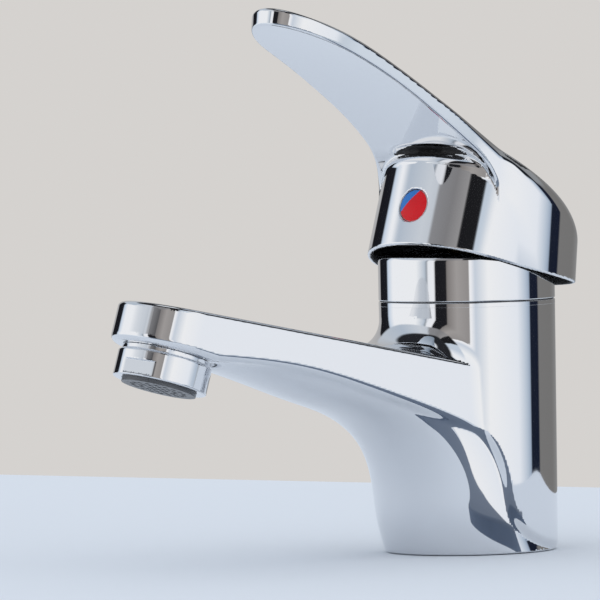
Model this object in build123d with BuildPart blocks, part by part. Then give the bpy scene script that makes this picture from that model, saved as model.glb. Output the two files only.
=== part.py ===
"""A single-lever basin mixer tap: a cast body with its spout, a ceramic-disc cartridge, a lever
handle, an aerator and the fixings that clamp the tap to a basin.

The origin is the centre of the base, where it stands on the deck. The spout points along -Y and
+Z is up. The lever is shown turned aside from the spout and lifted, with the water running.
"""
from build123d import *
import os
from math import cos, radians, sin, sqrt, tan

os.makedirs("parts", exist_ok=True)

# ---- Driving sizes, in millimetres and degrees -------------------------------------------------
# Column and seat of the cartridge
column_base_radius = 25.0
column_top_radius = 25.5
seam_height = 72.6
seam_gap = 0.25
seat_height = 44.0
cartridge_radius = 17.5
cartridge_fit = 0.15
nut_thread_radius = 20.4
thread_fit = 0.03
snug_fit = 0.02
loose_fit = 0.3

# Spout
spout_reach = 105.0
spout_tip_height = 61.1
spout_tip_radius = 16.5
spout_root_radius = 22.4
spout_tip_tilt = 17.5
spout_tip_depth = 12.9
spout_top_slope = 11.3
spout_crown_radius = 225.0
spout_root_blend = 9.0
spout_band_depth = 50.0
band_end_inset = 6.0
skin_room = 40.0
# The crease, from under the tip to the back of the base: shares of the reach and the tip's height
crease_stations = [
    (0.6857, 0.9067),
    (0.4448, 0.7856),
    (0.2095, 0.6416),
    (0.1000, 0.5336),
    (0.0514, 0.3273),
    (0.0248, 0.1637),
    (-0.0571, 0.0556),
    (-0.2286, 0.0),
]
# The keel, up the front of the column and then out under the spout: shares of the run from the
# column to the aerator and of the tip's height at the keel's lowest line, the lean of the section
# from level, and half its width and half its depth as shares of the column's radius
keel_on_column = [
    (0.0, 0.0, 0.0, 0.984, 0.984),
    (0.0375, 0.1473, 4.0, 0.960, 0.944),
    (0.0600, 0.3273, 12.0, 0.920, 0.880),
    (0.1100, 0.4910, 34.0, 0.824, 0.680),
]
keel_on_spout = [
    keel_on_column[-1],
    (0.2125, 0.6187, 58.0, 0.752, 0.420),
    (0.4375, 0.7365, 69.0, 0.692, 0.344),
    (0.6438, 0.8331, 70.5, 0.656, 0.304),
    (0.8375, 0.9198, 70.5, 0.608, 0.240),
]

# Water passages
port_offset_x = 7.0
port_offset_y = 5.0
outlet_offset = 6.5
passage_radius = 2.8
waterway_radius = 4.5
waterway_start_height = 40.0
inlet_drill_radius = 4.5
inlet_drill_depth = 12.0

# Aerator, M24 x 1
aerator_thread_radius = 12.0
aerator_thread_length = 6.0
aerator_radius = 13.5
aerator_collar_radius = 12.7
aerator_collar_length = 1.6
aerator_length = 9.3
aerator_bore_radius = 10.8
aerator_flat_depth = 1.0
aerator_flat_height = 4.0
aerator_flat_turn = 23.0
aerator_lip = 0.6
aerator_edge = 0.4
washer_thickness = 2.0
insert_standout = 1.1
insert_length = 13.2
insert_hole_radius = 0.8
insert_hole_pitch = 2.5
insert_ring_count = 3
holes_per_ring = 6
screen_thickness = 0.5
screen_pitch = 1.5
screen_count = 9
insert_fit = 0.05
washer_side_fit = 0.3
washer_overhang = 2.0

# Lever position
lever_turn = 16.0
lever_lift = 20.0
pivot_height = 80.0

# Cartridge
base_thickness = 5.7
seal_radius = 4.4
seal_standout = 0.3
seal_groove_depth = 1.7
disc_thickness = 4.0
disc_film = 0.05
fixed_disc_radius = 15.2
moving_disc_radius = 11.4
moving_disc_pocket_radius = 6.8
moving_disc_pocket_depth = 1.8
carrier_radius = 12.4
carrier_half_width = 8.9
carrier_plate_thickness = 4.4
carrier_boss_radius = 6.0
carrier_boss_rise = 2.2
carrier_slide_fit = 0.1
carrier_headroom = 0.25
housing_wall = 2.1
neck_radius = 14.9
neck_drop = 0.5
rotor_radius = 12.8
rotor_fit = 0.06
rotor_rise = 4.0
rotor_web_height = 10.0
rotor_slot_half_length = 8.0
pin_radius = 1.5
pin_fit = 0.05
pin_end_gap = 0.3
stem_half_width = 4.0
stem_rise = 23.5
stem_chamfer = 0.5
stem_fit = 0.15
stem_shoulder_drop = 3.0
stem_ball_drop = 10.0
stem_ball_radius = 2.8
stem_neck_radius = 1.7
ball_fit = 0.35
mid_lift = 12.0

# Retaining nut, and trim ring with a rounded shoulder
nut_flange_height = 6.6
nut_across_flats = 38.0
nut_chamfer = 0.8
ring_lip_thickness = 1.8
ring_wall = 1.8
ring_side_height = 11.4
dome_radius = 2.5
dome_opening_radius = 15.7

# Handle, in its closed position; heights are above its rim
rim_drop = 0.9
rim_rise = 0.23
rim_front_radius = 27.3
rim_front_offset = 2.74
rim_rear_radius = 29.2
rim_rear_offset = -4.8
wall_lean = 12.9
handle_wall = 1.5
hollow_height = 18.4
handle_crest_radius = 640.0
handle_crown_radius = 168.0
handle_crest_reach = 47.5
handle_crest_rise = 38.15
handle_crest_slope = 9.1
handle_edge = 1.0
blade_room = 40.0
blade_tip = 111.0
blade_floor_rise = 22.4
blade_back = 6.0
blade_start = 4.0
blade_inset = 0.2
# The blade's edge in plan, from the housing to the tip: shares of its reach and of the rim's radius
blade_edge_stations = [
    (0.1351, 0.8901),
    (0.2342, 0.7802),
    (0.4054, 0.6777),
    (0.5586, 0.6447),
    (0.7387, 0.6007),
    (0.8468, 0.5458),
    (0.9243, 0.4212),
    (0.9820, 0.2161),
]
# The blade's underside in side view: shares of its reach and of the crest's height above the rim
underside_stations = [
    (0.1802, 0.6317),
    (0.2730, 0.7418),
    (0.4117, 0.8493),
    (0.5604, 0.9332),
    (0.7360, 1.0066),
    (1.0090, 1.0721),
]
hub_half_width = 7.0
hub_rise = 10.9
hub_end_wall = 1.0
stem_end_gap = 0.5
screw_rise = 11.8
screw_radius = 2.5
screw_length = 8.0
screw_tube_radius = 3.8
button_boss_radius = 6.2
button_boss_depth = 4.0
button_radius = 4.85
button_recess = 2.0
button_dome = 0.7
button_fit = 0.05
button_spigot_radius = 2.2
button_spigot_length = 6.0
button_edge_drop = 0.55
hex_socket_flats = 2.5
hex_socket_depth = 3.0

# Base seal and fixings under the deck
base_seal_inner = 20.0
base_seal_outer = 23.0
base_seal_depth = 1.8
seal_side_fit = 0.1
deck_thickness = 20.0
stud_radius = 4.0
stud_offset = 11.0
stud_grip = 14.0
stud_end_gap = 1.0
stud_length = 74.0
stud_chamfer = 0.8
clamp_radius = 24.0
clamp_slot_width = 29.0
clamp_slot_front = 2.0
rubber_thickness = 3.0
steel_thickness = 2.0
fixing_nut_flats = 13.0
fixing_nut_height = 6.5

# ---- Frames and worked-out places --------------------------------------------------------------
side_plane = Plane(origin=(0, 0, 0), x_dir=(0, -1, 0), z_dir=(-1, 0, 0))

tip_up = Vector(0, sin(radians(spout_tip_tilt)), cos(radians(spout_tip_tilt)))
tip_plane = Plane(origin=(0, -spout_reach, spout_tip_height), x_dir=(1, 0, 0), z_dir=tip_up)
band_end = spout_reach - band_end_inset
socket_depth = aerator_thread_length + washer_thickness

swivel_forward = Vector(sin(radians(lever_turn)), -cos(radians(lever_turn)), 0)
lever_left = Vector(cos(radians(lever_turn)), sin(radians(lever_turn)), 0)
up = Vector(0, 0, 1)
swivel_plan = Plane(origin=(0, 0, 0), x_dir=swivel_forward, z_dir=up)

lever_forward = swivel_forward * cos(radians(lever_lift)) + up * sin(radians(lever_lift))
lever_up = up * cos(radians(lever_lift)) - swivel_forward * sin(radians(lever_lift))
pivot = Vector(0, 0, pivot_height)
lever_origin = pivot - lever_up * pivot_height
lever_plan = Plane(origin=lever_origin, x_dir=lever_forward, z_dir=lever_up)
lever_profile = Plane(origin=lever_origin, x_dir=lever_forward, z_dir=-lever_left)
lever_front = Plane(origin=lever_origin, x_dir=lever_left, z_dir=lever_forward)

base_top = seat_height + seal_standout + base_thickness
fixed_disc_top = base_top + disc_thickness
moving_disc_bottom = fixed_disc_top + disc_film
carrier_bottom = moving_disc_bottom + disc_thickness
carrier_plate_top = carrier_bottom + carrier_plate_thickness
shoulder_height = carrier_plate_top + carrier_headroom + housing_wall
rotor_top = pivot_height + rotor_rise
neck_top = rotor_top - neck_drop
stem_top = pivot_height + stem_rise
ball_lowest = pivot_height - stem_ball_drop - stem_ball_radius
ball_height = pivot_height - stem_ball_drop * cos(radians(lever_lift))
ball_shift = stem_ball_drop * sin(radians(lever_lift))
disc_shift = ball_shift - stem_ball_drop * sin(radians(mid_lift))
rotor_web_bottom = rotor_top - rotor_web_height
housing_bore = cartridge_radius - housing_wall
neck_bore = rotor_radius + rotor_fit
ring_lip_top = seam_height + ring_lip_thickness
dome_start = seam_height + ring_side_height
dome_top = dome_start + dome_radius
rim_height = pivot_height - rim_drop
rim_front = rim_front_offset + rim_front_radius
roof_height = rim_height + hollow_height
handle_crest_height = rim_height + handle_crest_rise
# The leaning back of the housing comes level with its front here
housing_top = rim_height + (rim_front_offset - rim_rear_offset) / tan(radians(wall_lean))
blade_floor = rim_height + blade_floor_rise
hub_bottom = rim_height + hub_rise
screw_height = rim_height + screw_rise
waterway_start = Vector(0, -outlet_offset, waterway_start_height)
waterway_run = tip_plane.origin + tip_up * socket_depth * 0.5 - waterway_start
base_ports = [
    (port_offset_x, port_offset_y),
    (-port_offset_x, port_offset_y),
    (0, -outlet_offset),
]


def spout_top(reach):
    """Height of the spout's upper edge at a distance from the column's axis."""
    tip_back = spout_reach - spout_tip_depth * sin(radians(spout_tip_tilt))
    tip_top = spout_tip_height + spout_tip_depth * cos(radians(spout_tip_tilt))
    return tip_top + (reach - tip_back) * tan(radians(spout_top_slope))


def tip_line(reach):
    """Height of the flat face under the spout's tip at a distance from the axis."""
    return spout_tip_height + (reach - spout_reach) * tan(radians(spout_tip_tilt))


def shared_edges(some_faces, other_faces):
    """The edges where two groups of faces meet."""
    others = other_faces.edges()
    return [edge for edge in some_faces.edges() if any(edge.is_same(other) for other in others)]


def write(piece, label):
    """Label a finished piece and export it as its own node."""
    piece.part.label = label
    export_step(piece.part, f"parts/{label}.step")


# ---- Body: column and spout in one casting -----------------------------------------------------
with BuildPart() as faucet_body:
    with BuildSketch(tip_plane.offset(-skin_room)):
        Circle(spout_tip_radius)
        with Locations((0, spout_reach)):
            Circle(spout_root_radius)
        make_hull()
    extrude(amount=skin_room + spout_band_depth)
    crown_point = (0, -spout_reach, spout_top(spout_reach))
    top_run = Vector(0, -cos(radians(spout_top_slope)), sin(radians(spout_top_slope)))
    with BuildSketch(Plane(origin=crown_point, x_dir=(1, 0, 0), z_dir=top_run)):
        with Locations((0, -spout_crown_radius)):
            Circle(spout_crown_radius)
    extrude(amount=spout_reach * 2, both=True, mode=Mode.INTERSECT)
    with BuildSketch(Plane.XY):
        Circle(column_base_radius)
    with BuildSketch(Plane.XY.offset(seam_height - seam_gap)):
        Circle(column_top_radius)
    loft()
    # The outer skin: spout band and column, down to the crease that sweeps to the back of the base
    with BuildSketch(side_plane):
        with BuildLine():
            crease = Spline(
                (band_end, tip_line(band_end)),
                *[(along * spout_reach, rise * spout_tip_height) for along, rise in crease_stations],
            )
            Polyline(
                crease @ 1,
                (-skin_room, 0),
                (-skin_room, 2 * seam_height),
                (spout_reach + skin_room, 2 * seam_height),
                (spout_reach + skin_room, tip_line(spout_reach + skin_room)),
                crease @ 0,
            )
        make_face()
    extrude(amount=2 * column_top_radius, both=True, mode=Mode.INTERSECT)
    cone = faucet_body.faces().filter_by(GeomType.CONE)
    crown = faucet_body.faces().filter_by(GeomType.CYLINDER).sort_by(lambda face: face.radius)[-1:]
    fillet(shared_edges(crown, cone), radius=spout_root_blend)
    # The keel that flows up the front of the column and out under the spout
    for stations in (keel_on_column, keel_on_spout):
        for along, rise, lean, width, depth in stations:
            inward = Vector(0, cos(radians(lean)), sin(radians(lean)))
            forward = Vector(0, -sin(radians(lean)), cos(radians(lean)))
            reach = column_base_radius + along * (spout_reach - column_base_radius)
            lowest = Vector(0, -reach, rise * spout_tip_height)
            middle = lowest + inward * depth * column_base_radius
            with BuildSketch(Plane(origin=middle, x_dir=(1, 0, 0), z_dir=forward)):
                Ellipse(width * column_base_radius, depth * column_base_radius)
        loft()
    # Seat for the cartridge, and the thread above it for the retaining nut
    with BuildSketch(Plane.XY.offset(seat_height)):
        Circle(cartridge_radius + cartridge_fit)
    extrude(amount=seam_height - seat_height, mode=Mode.SUBTRACT)
    with BuildSketch(Plane.XY.offset(shoulder_height)):
        Circle(nut_thread_radius + thread_fit)
    extrude(amount=seam_height - shoulder_height, mode=Mode.SUBTRACT)
    # Inlets: drilled and tapped from below, then two passages up to the seat
    with BuildSketch(Plane.XY):
        with Locations(*base_ports[:2]):
            Circle(inlet_drill_radius)
    extrude(amount=inlet_drill_depth, mode=Mode.SUBTRACT)
    with BuildSketch(Plane.XY):
        with Locations(*base_ports[:2]):
            Circle(passage_radius)
    extrude(amount=seat_height, mode=Mode.SUBTRACT)
    # Outlet: down from the seat, then along the spout to the aerator's socket
    with BuildSketch(Plane.XY.offset(waterway_start_height)):
        with Locations(base_ports[2]):
            Circle(passage_radius)
    extrude(amount=seat_height - waterway_start_height, mode=Mode.SUBTRACT)
    with BuildSketch(Plane(origin=waterway_start, x_dir=(1, 0, 0), z_dir=waterway_run)):
        Circle(waterway_radius)
    extrude(amount=waterway_run.length, mode=Mode.SUBTRACT)
    with BuildSketch(tip_plane):
        Circle(aerator_thread_radius + thread_fit)
    extrude(amount=socket_depth, mode=Mode.SUBTRACT)
    # Under the base: the groove of the seal and the tapped hole of the stud
    with BuildSketch(Plane.XY):
        Circle(base_seal_outer)
        Circle(base_seal_inner, mode=Mode.SUBTRACT)
    extrude(amount=base_seal_depth, mode=Mode.SUBTRACT)
    with BuildSketch(Plane.XY):
        with Locations((0, -stud_offset)):
            Circle(stud_radius + snug_fit)
    extrude(amount=stud_grip + stud_end_gap, mode=Mode.SUBTRACT)
write(faucet_body, "faucet_body")

# ---- Trim ring and retaining nut ---------------------------------------------------------------
with BuildPart() as trim_ring:
    with BuildSketch(Plane.XZ):
        with BuildLine():
            corner = dome_radius * (1 - sqrt(0.5))
            inner_radius = dome_radius - ring_wall
            inner_corner = inner_radius * (1 - sqrt(0.5))
            ring_inside = column_top_radius - ring_wall
            Line((column_top_radius, seam_height), (column_top_radius, dome_start))
            ThreePointArc(
                (column_top_radius, dome_start),
                (column_top_radius - corner, dome_top - corner),
                (column_top_radius - dome_radius, dome_top),
            )
            Polyline(
                (column_top_radius - dome_radius, dome_top),
                (dome_opening_radius, dome_top),
                (dome_opening_radius, dome_top - ring_wall),
                (ring_inside - inner_radius, dome_top - ring_wall),
            )
            ThreePointArc(
                (ring_inside - inner_radius, dome_top - ring_wall),
                (ring_inside - inner_corner, dome_top - ring_wall - inner_corner),
                (ring_inside, dome_start),
            )
            Polyline(
                (ring_inside, dome_start),
                (ring_inside, ring_lip_top),
                (nut_thread_radius + loose_fit, ring_lip_top),
                (nut_thread_radius + loose_fit, seam_height),
                (column_top_radius, seam_height),
            )
        make_face()
    revolve(axis=Axis.Z)
write(trim_ring, "trim_ring")

with BuildPart() as cartridge_nut:
    with BuildSketch(Plane.XY.offset(shoulder_height)):
        Circle(nut_thread_radius)
    extrude(amount=ring_lip_top - shoulder_height)
    with BuildSketch(Plane.XY.offset(ring_lip_top)):
        RegularPolygon(nut_across_flats / 2, 6, major_radius=False)
    extrude(amount=nut_flange_height)
    chamfer(cartridge_nut.faces().sort_by(Axis.Z)[-1].edges(), length=nut_chamfer)
    with BuildSketch(Plane.XY.offset(shoulder_height)):
        Circle(neck_radius + loose_fit)
    extrude(amount=ring_lip_top + nut_flange_height - shoulder_height, mode=Mode.SUBTRACT)
write(cartridge_nut, "cartridge_nut")

# ---- Cartridge ---------------------------------------------------------------------------------
with BuildPart() as cartridge_base:
    with BuildSketch(Plane.XY.offset(seat_height + seal_standout)):
        Circle(cartridge_radius)
        with Locations(*base_ports):
            Circle(passage_radius, mode=Mode.SUBTRACT)
    extrude(amount=base_thickness)
    with BuildSketch(Plane.XY.offset(seat_height + seal_standout)):
        with Locations(*base_ports):
            Circle(seal_radius)
    extrude(amount=seal_groove_depth, mode=Mode.SUBTRACT)
write(cartridge_base, "cartridge_base")

with BuildPart() as base_port_seals:
    with BuildSketch(Plane.XY.offset(seat_height)):
        with Locations(*base_ports):
            Circle(seal_radius)
            Circle(passage_radius, mode=Mode.SUBTRACT)
    extrude(amount=seal_standout + seal_groove_depth)
write(base_port_seals, "base_port_seals")

with BuildPart() as fixed_ceramic_disc:
    with BuildSketch(Plane.XY.offset(base_top)):
        Circle(fixed_disc_radius)
        with Locations(*base_ports):
            Circle(passage_radius, mode=Mode.SUBTRACT)
    extrude(amount=disc_thickness)
write(fixed_ceramic_disc, "fixed_ceramic_disc")

with BuildPart() as moving_ceramic_disc:
    with BuildSketch(swivel_plan.offset(moving_disc_bottom)):
        with Locations((disc_shift, 0)):
            Circle(moving_disc_radius)
    extrude(amount=disc_thickness)
    with BuildSketch(swivel_plan.offset(moving_disc_bottom)):
        with Locations((disc_shift, 0)):
            Circle(moving_disc_pocket_radius)
    extrude(amount=moving_disc_pocket_depth, mode=Mode.SUBTRACT)
write(moving_ceramic_disc, "moving_ceramic_disc")

with BuildPart() as disc_carrier:
    with BuildSketch(swivel_plan.offset(carrier_bottom)):
        with Locations((disc_shift, 0)):
            Circle(carrier_radius)
            Rectangle(2 * carrier_radius, 2 * carrier_half_width, mode=Mode.INTERSECT)
    extrude(amount=carrier_plate_thickness)
    with BuildSketch(swivel_plan.offset(carrier_plate_top)):
        with Locations((ball_shift, 0)):
            Circle(carrier_boss_radius)
    extrude(amount=ball_height + carrier_boss_rise - carrier_plate_top)
    with BuildSketch(swivel_plan.offset(ball_lowest - ball_fit)):
        with Locations((ball_shift, 0)):
            Circle(stem_ball_radius + ball_fit)
    extrude(amount=ball_height + carrier_boss_rise - ball_lowest + ball_fit, mode=Mode.SUBTRACT)
write(disc_carrier, "disc_carrier")

with BuildPart() as cartridge_housing:
    with BuildSketch(Plane.XY.offset(base_top)):
        Circle(cartridge_radius)
    extrude(amount=shoulder_height - base_top)
    with BuildSketch(Plane.XY.offset(shoulder_height)):
        Circle(neck_radius)
    extrude(amount=neck_top - shoulder_height)
    with BuildSketch(Plane.XY.offset(base_top)):
        Circle(housing_bore)
    extrude(amount=shoulder_height - housing_wall - base_top, mode=Mode.SUBTRACT)
    with BuildSketch(Plane.XY.offset(base_top)):
        Circle(neck_bore)
    extrude(amount=neck_top - base_top, mode=Mode.SUBTRACT)
write(cartridge_housing, "cartridge_housing")

with BuildPart() as cartridge_rotor:
    with BuildSketch(swivel_plan.offset(carrier_bottom + carrier_slide_fit)):
        Circle(rotor_radius)
        Rectangle(
            2 * rotor_radius,
            2 * (carrier_half_width + carrier_slide_fit),
            mode=Mode.SUBTRACT,
        )
    extrude(amount=rotor_web_bottom - carrier_bottom - carrier_slide_fit)
    with BuildSketch(swivel_plan.offset(rotor_web_bottom)):
        Circle(rotor_radius)
        Rectangle(2 * rotor_slot_half_length, 2 * (stem_half_width + stem_fit), mode=Mode.SUBTRACT)
    extrude(amount=rotor_web_height)
    with BuildSketch(lever_profile):
        with Locations((0, pivot_height)):
            Circle(pin_radius + snug_fit)
    extrude(amount=rotor_radius, both=True, mode=Mode.SUBTRACT)
write(cartridge_rotor, "cartridge_rotor")

with BuildPart() as stem_pin:
    with BuildSketch(lever_profile):
        with Locations((0, pivot_height)):
            Circle(pin_radius)
    extrude(amount=rotor_radius - pin_end_gap, both=True)
write(stem_pin, "stem_pin")

with BuildPart() as lever_stem:
    with BuildSketch(lever_plan.offset(pivot_height - stem_shoulder_drop)):
        Rectangle(2 * stem_half_width, 2 * stem_half_width)
    extrude(amount=stem_top - pivot_height + stem_shoulder_drop)
    chamfer(lever_stem.edges().group_by(Axis.Z)[-1], length=stem_chamfer)
    with BuildSketch(lever_plan.offset(pivot_height - stem_ball_drop)):
        Circle(stem_neck_radius)
    extrude(amount=stem_ball_drop - stem_shoulder_drop)
    with Locations(pivot - lever_up * stem_ball_drop):
        Sphere(stem_ball_radius)
    with BuildSketch(lever_profile):
        with Locations((0, pivot_height)):
            Circle(pin_radius + pin_fit)
    extrude(amount=stem_half_width, both=True, mode=Mode.SUBTRACT)
write(lever_stem, "lever_stem")

# ---- Handle ------------------------------------------------------------------------------------
def rear_offset(height):
    """Centre of the rear arc of the housing, which leans forward as it rises."""
    return rim_rear_offset + (height - rim_height) * tan(radians(wall_lean))


def housing_outline(height, wall):
    """The egg-shaped outline of the handle's housing, less a wall, as a sketch on the lever's plan."""
    with BuildSketch(lever_plan.offset(height)) as outline:
        with Locations((rim_front_offset, 0)):
            Circle(rim_front_radius - wall)
        with Locations((rear_offset(height), 0)):
            Circle(rim_rear_radius - wall)
        make_hull()
    return outline.sketch


crest_angle = radians(handle_crest_slope)
crest_down = lever_forward * sin(crest_angle) - lever_up * cos(crest_angle)
crest_point = lever_plan.from_local_coords(Vector(handle_crest_reach, 0, handle_crest_height))
crest_plane = Plane(
    origin=crest_point + crest_down * handle_crest_radius,
    x_dir=-crest_down,
    z_dir=lever_left,
)

with BuildPart() as handle:
    # The lever blade: its plan, then its side view
    with BuildSketch(lever_plan.offset(blade_floor)):
        with BuildLine():
            blade_edge = Spline(
                (blade_start, rim_front_radius - blade_inset),
                *[(along * blade_tip, aside * rim_front_radius) for along, aside in blade_edge_stations],
                (blade_tip, 0),
                tangents=((1, -0.12), (0, -1)),
            )
            Polyline(blade_edge @ 0, (-blade_back, rim_front_radius - blade_inset), (-blade_back, 0))
            mirror(about=Plane.XZ)
        make_face()
    extrude(amount=blade_room)
    with BuildSketch(lever_profile):
        with BuildLine():
            underside = Spline(
                *[
                    (along * blade_tip, rim_height + rise * handle_crest_rise)
                    for along, rise in underside_stations
                ]
            )
            blade_ceiling = blade_floor + blade_room
            Polyline(
                underside @ 0,
                (0, blade_floor),
                (-blade_back, blade_floor),
                (-blade_back, blade_ceiling),
                ((underside @ 1).X, blade_ceiling),
                underside @ 1,
            )
        make_face()
    extrude(amount=2 * rim_rear_radius, both=True, mode=Mode.INTERSECT)
    # The housing over the cartridge
    loft([housing_outline(rim_height, 0), housing_outline(housing_top, 0)])
    # The crowned top of housing and blade in one sweep
    with Locations(crest_plane):
        Torus(handle_crest_radius - handle_crown_radius, handle_crown_radius, mode=Mode.INTERSECT)
    # The rim, cut upwards towards the back so that it clears the ring when the lever is lifted
    with BuildSketch(lever_profile):
        Polygon(
            (0, rim_height),
            (-2 * rim_rear_radius, rim_height + 2 * rim_rear_radius * rim_rise),
            (-2 * rim_rear_radius, rim_height),
            align=None,
        )
    extrude(amount=2 * rim_rear_radius, both=True, mode=Mode.SUBTRACT)
    crest = handle.faces().filter_by(GeomType.TORUS)
    fillet(crest.edges(), radius=handle_edge)
    # Hollow for the ring and the cartridge
    loft(
        [housing_outline(rim_height, handle_wall), housing_outline(roof_height, handle_wall)],
        mode=Mode.SUBTRACT,
    )
    # Hub round the stem, and the tube of the grub screw with the button's seat at its front
    with BuildSketch(lever_plan.offset(hub_bottom)):
        Rectangle(2 * hub_half_width, 2 * hub_half_width)
    extrude(amount=stem_top + hub_end_wall - hub_bottom)
    with BuildSketch(lever_front.offset(stem_half_width + stem_fit)):
        with Locations((0, screw_height)):
            Circle(screw_tube_radius)
    extrude(amount=rim_front - handle_wall - stem_half_width - stem_fit)
    with BuildSketch(lever_front.offset(rim_front - button_boss_depth)):
        with Locations((0, screw_height)):
            Circle(button_boss_radius)
    extrude(amount=button_boss_depth - handle_wall)
    # Socket of the stem, bore of the grub screw, seat of the button
    with BuildSketch(lever_plan.offset(hub_bottom)):
        Rectangle(2 * (stem_half_width + stem_fit), 2 * (stem_half_width + stem_fit))
    extrude(amount=stem_top + stem_end_gap - hub_bottom, mode=Mode.SUBTRACT)
    with BuildSketch(lever_front.offset(stem_half_width)):
        with Locations((0, screw_height)):
            Circle(screw_radius + snug_fit)
    extrude(amount=rim_front, mode=Mode.SUBTRACT)
    with BuildSketch(lever_front.offset(rim_front - button_recess)):
        with Locations((0, screw_height)):
            Circle(button_radius + button_fit)
    extrude(amount=2 * button_recess, mode=Mode.SUBTRACT)
write(handle, "handle")

with BuildPart() as handle_grub_screw:
    with BuildSketch(lever_front.offset(stem_half_width)):
        with Locations((0, screw_height)):
            Circle(screw_radius)
    extrude(amount=screw_length)
    with BuildSketch(lever_front.offset(stem_half_width + screw_length)):
        with Locations((0, screw_height)):
            RegularPolygon(hex_socket_flats / 2, 6, major_radius=False)
    extrude(amount=-hex_socket_depth, mode=Mode.SUBTRACT)
write(handle_grub_screw, "handle_grub_screw")

# The two-colour button that covers the screw, with a domed face
with BuildPart() as index_button:
    with BuildSketch(lever_profile):
        with BuildLine():
            face = rim_front - button_edge_drop
            Polyline(
                (face, screw_height + button_radius),
                (rim_front - button_recess, screw_height + button_radius),
                (rim_front - button_recess, screw_height + button_spigot_radius),
                (rim_front - button_recess - button_spigot_length, screw_height + button_spigot_radius),
                (rim_front - button_recess - button_spigot_length, screw_height),
                (face + button_dome, screw_height),
            )
            dome_ball = (button_radius**2 + button_dome**2) / (2 * button_dome)
            RadiusArc(
                (face + button_dome, screw_height),
                (face, screw_height + button_radius),
                dome_ball,
            )
        make_face()
    button_axis = Axis(lever_plan.from_local_coords(Vector(0, 0, screw_height)), lever_forward)
    revolve(axis=button_axis)
write(index_button, "index_button")

# ---- Aerator, screwed into the spout's tip -----------------------------------------------------
with BuildPart() as aerator_housing:
    with BuildSketch(tip_plane):
        Circle(aerator_thread_radius)
    extrude(amount=aerator_thread_length)
    with BuildSketch(tip_plane):
        Circle(aerator_collar_radius)
    extrude(amount=-aerator_collar_length)
    with BuildSketch(tip_plane.offset(-aerator_collar_length)):
        Circle(aerator_radius)
    extrude(amount=aerator_collar_length - aerator_length)
    rims = aerator_housing.edges().filter_by(GeomType.CIRCLE)
    fillet(rims.filter_by(lambda edge: edge.radius > aerator_collar_radius + snug_fit), radius=aerator_edge)
    with BuildSketch(tip_plane.offset(aerator_thread_length)):
        Circle(aerator_bore_radius)
    extrude(amount=-aerator_length - aerator_thread_length, mode=Mode.SUBTRACT)
    # Two flats for the wrench near the lower edge
    flat_distance = aerator_radius - aerator_flat_depth
    with BuildSketch(tip_plane.offset(aerator_lip - aerator_length)):
        with PolarLocations(flat_distance + aerator_radius / 2, 2, start_angle=aerator_flat_turn - 90):
            Rectangle(aerator_radius, 2 * aerator_radius)
    extrude(amount=aerator_flat_height, mode=Mode.SUBTRACT)
write(aerator_housing, "aerator_housing")

with BuildPart() as aerator_insert:
    with BuildSketch(tip_plane.offset(-aerator_length - insert_standout)):
        Circle(aerator_bore_radius - insert_fit)
        Circle(insert_hole_radius, mode=Mode.SUBTRACT)
        for ring in range(1, insert_ring_count + 1):
            with PolarLocations(ring * insert_hole_pitch, holes_per_ring * ring):
                Circle(insert_hole_radius, mode=Mode.SUBTRACT)
    extrude(amount=insert_length)
write(aerator_insert, "aerator_insert")

insert_top = insert_length - aerator_length - insert_standout
with BuildPart() as aerator_screen:
    with BuildSketch(tip_plane.offset(insert_top)):
        Circle(aerator_bore_radius - insert_fit)
        with GridLocations(screen_pitch, screen_pitch, screen_count, screen_count):
            Rectangle(screen_pitch / 2, screen_pitch / 2, mode=Mode.SUBTRACT)
    extrude(amount=screen_thickness)
write(aerator_screen, "aerator_screen")

with BuildPart() as aerator_washer:
    with BuildSketch(tip_plane.offset(aerator_thread_length)):
        Circle(aerator_thread_radius - washer_side_fit)
        Circle(aerator_bore_radius - washer_overhang, mode=Mode.SUBTRACT)
    extrude(amount=washer_thickness)
write(aerator_washer, "aerator_washer")

# ---- Base seal and the fixings that clamp the deck ---------------------------------------------
with BuildPart() as base_seal:
    with BuildSketch(Plane.XY):
        Circle(base_seal_outer - seal_side_fit)
        Circle(base_seal_inner + seal_side_fit, mode=Mode.SUBTRACT)
    extrude(amount=base_seal_depth)
write(base_seal, "base_seal")

with BuildPart() as mounting_stud:
    with BuildSketch(Plane.XY.offset(stud_grip)):
        with Locations((0, -stud_offset)):
            Circle(stud_radius)
    extrude(amount=-stud_length)
    chamfer(mounting_stud.edges().filter_by(GeomType.CIRCLE), length=stud_chamfer)
write(mounting_stud, "mounting_stud")


def horseshoe(height):
    """The clamp's outline at a height: a disc cut open at the back to let the hoses pass."""
    with BuildSketch(Plane.XY.offset(height)) as outline:
        Circle(clamp_radius)
        with Locations((0, clamp_radius - clamp_slot_front)):
            Rectangle(clamp_slot_width, 2 * clamp_radius, mode=Mode.SUBTRACT)
        with Locations((0, -stud_offset)):
            Circle(stud_radius + loose_fit, mode=Mode.SUBTRACT)
    return outline.sketch


with BuildPart() as rubber_horseshoe:
    extrude(horseshoe(-deck_thickness), amount=-rubber_thickness)
write(rubber_horseshoe, "rubber_horseshoe")

plate_height = -deck_thickness - rubber_thickness
with BuildPart() as steel_horseshoe:
    extrude(horseshoe(plate_height), amount=-steel_thickness)
write(steel_horseshoe, "steel_horseshoe")

with BuildPart() as fixing_nut:
    with BuildSketch(Plane.XY.offset(plate_height - steel_thickness)):
        with Locations((0, -stud_offset)):
            RegularPolygon(fixing_nut_flats / 2, 6, major_radius=False)
            Circle(stud_radius + snug_fit, mode=Mode.SUBTRACT)
    extrude(amount=-fixing_nut_height)
write(fixing_nut, "fixing_nut")
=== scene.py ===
"""Dresses the basin mixer tap: chrome casting, lever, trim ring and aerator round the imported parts.

Sizes are kept in metres in the property groups. The shape classes work in millimetres.
"""
import math

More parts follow.
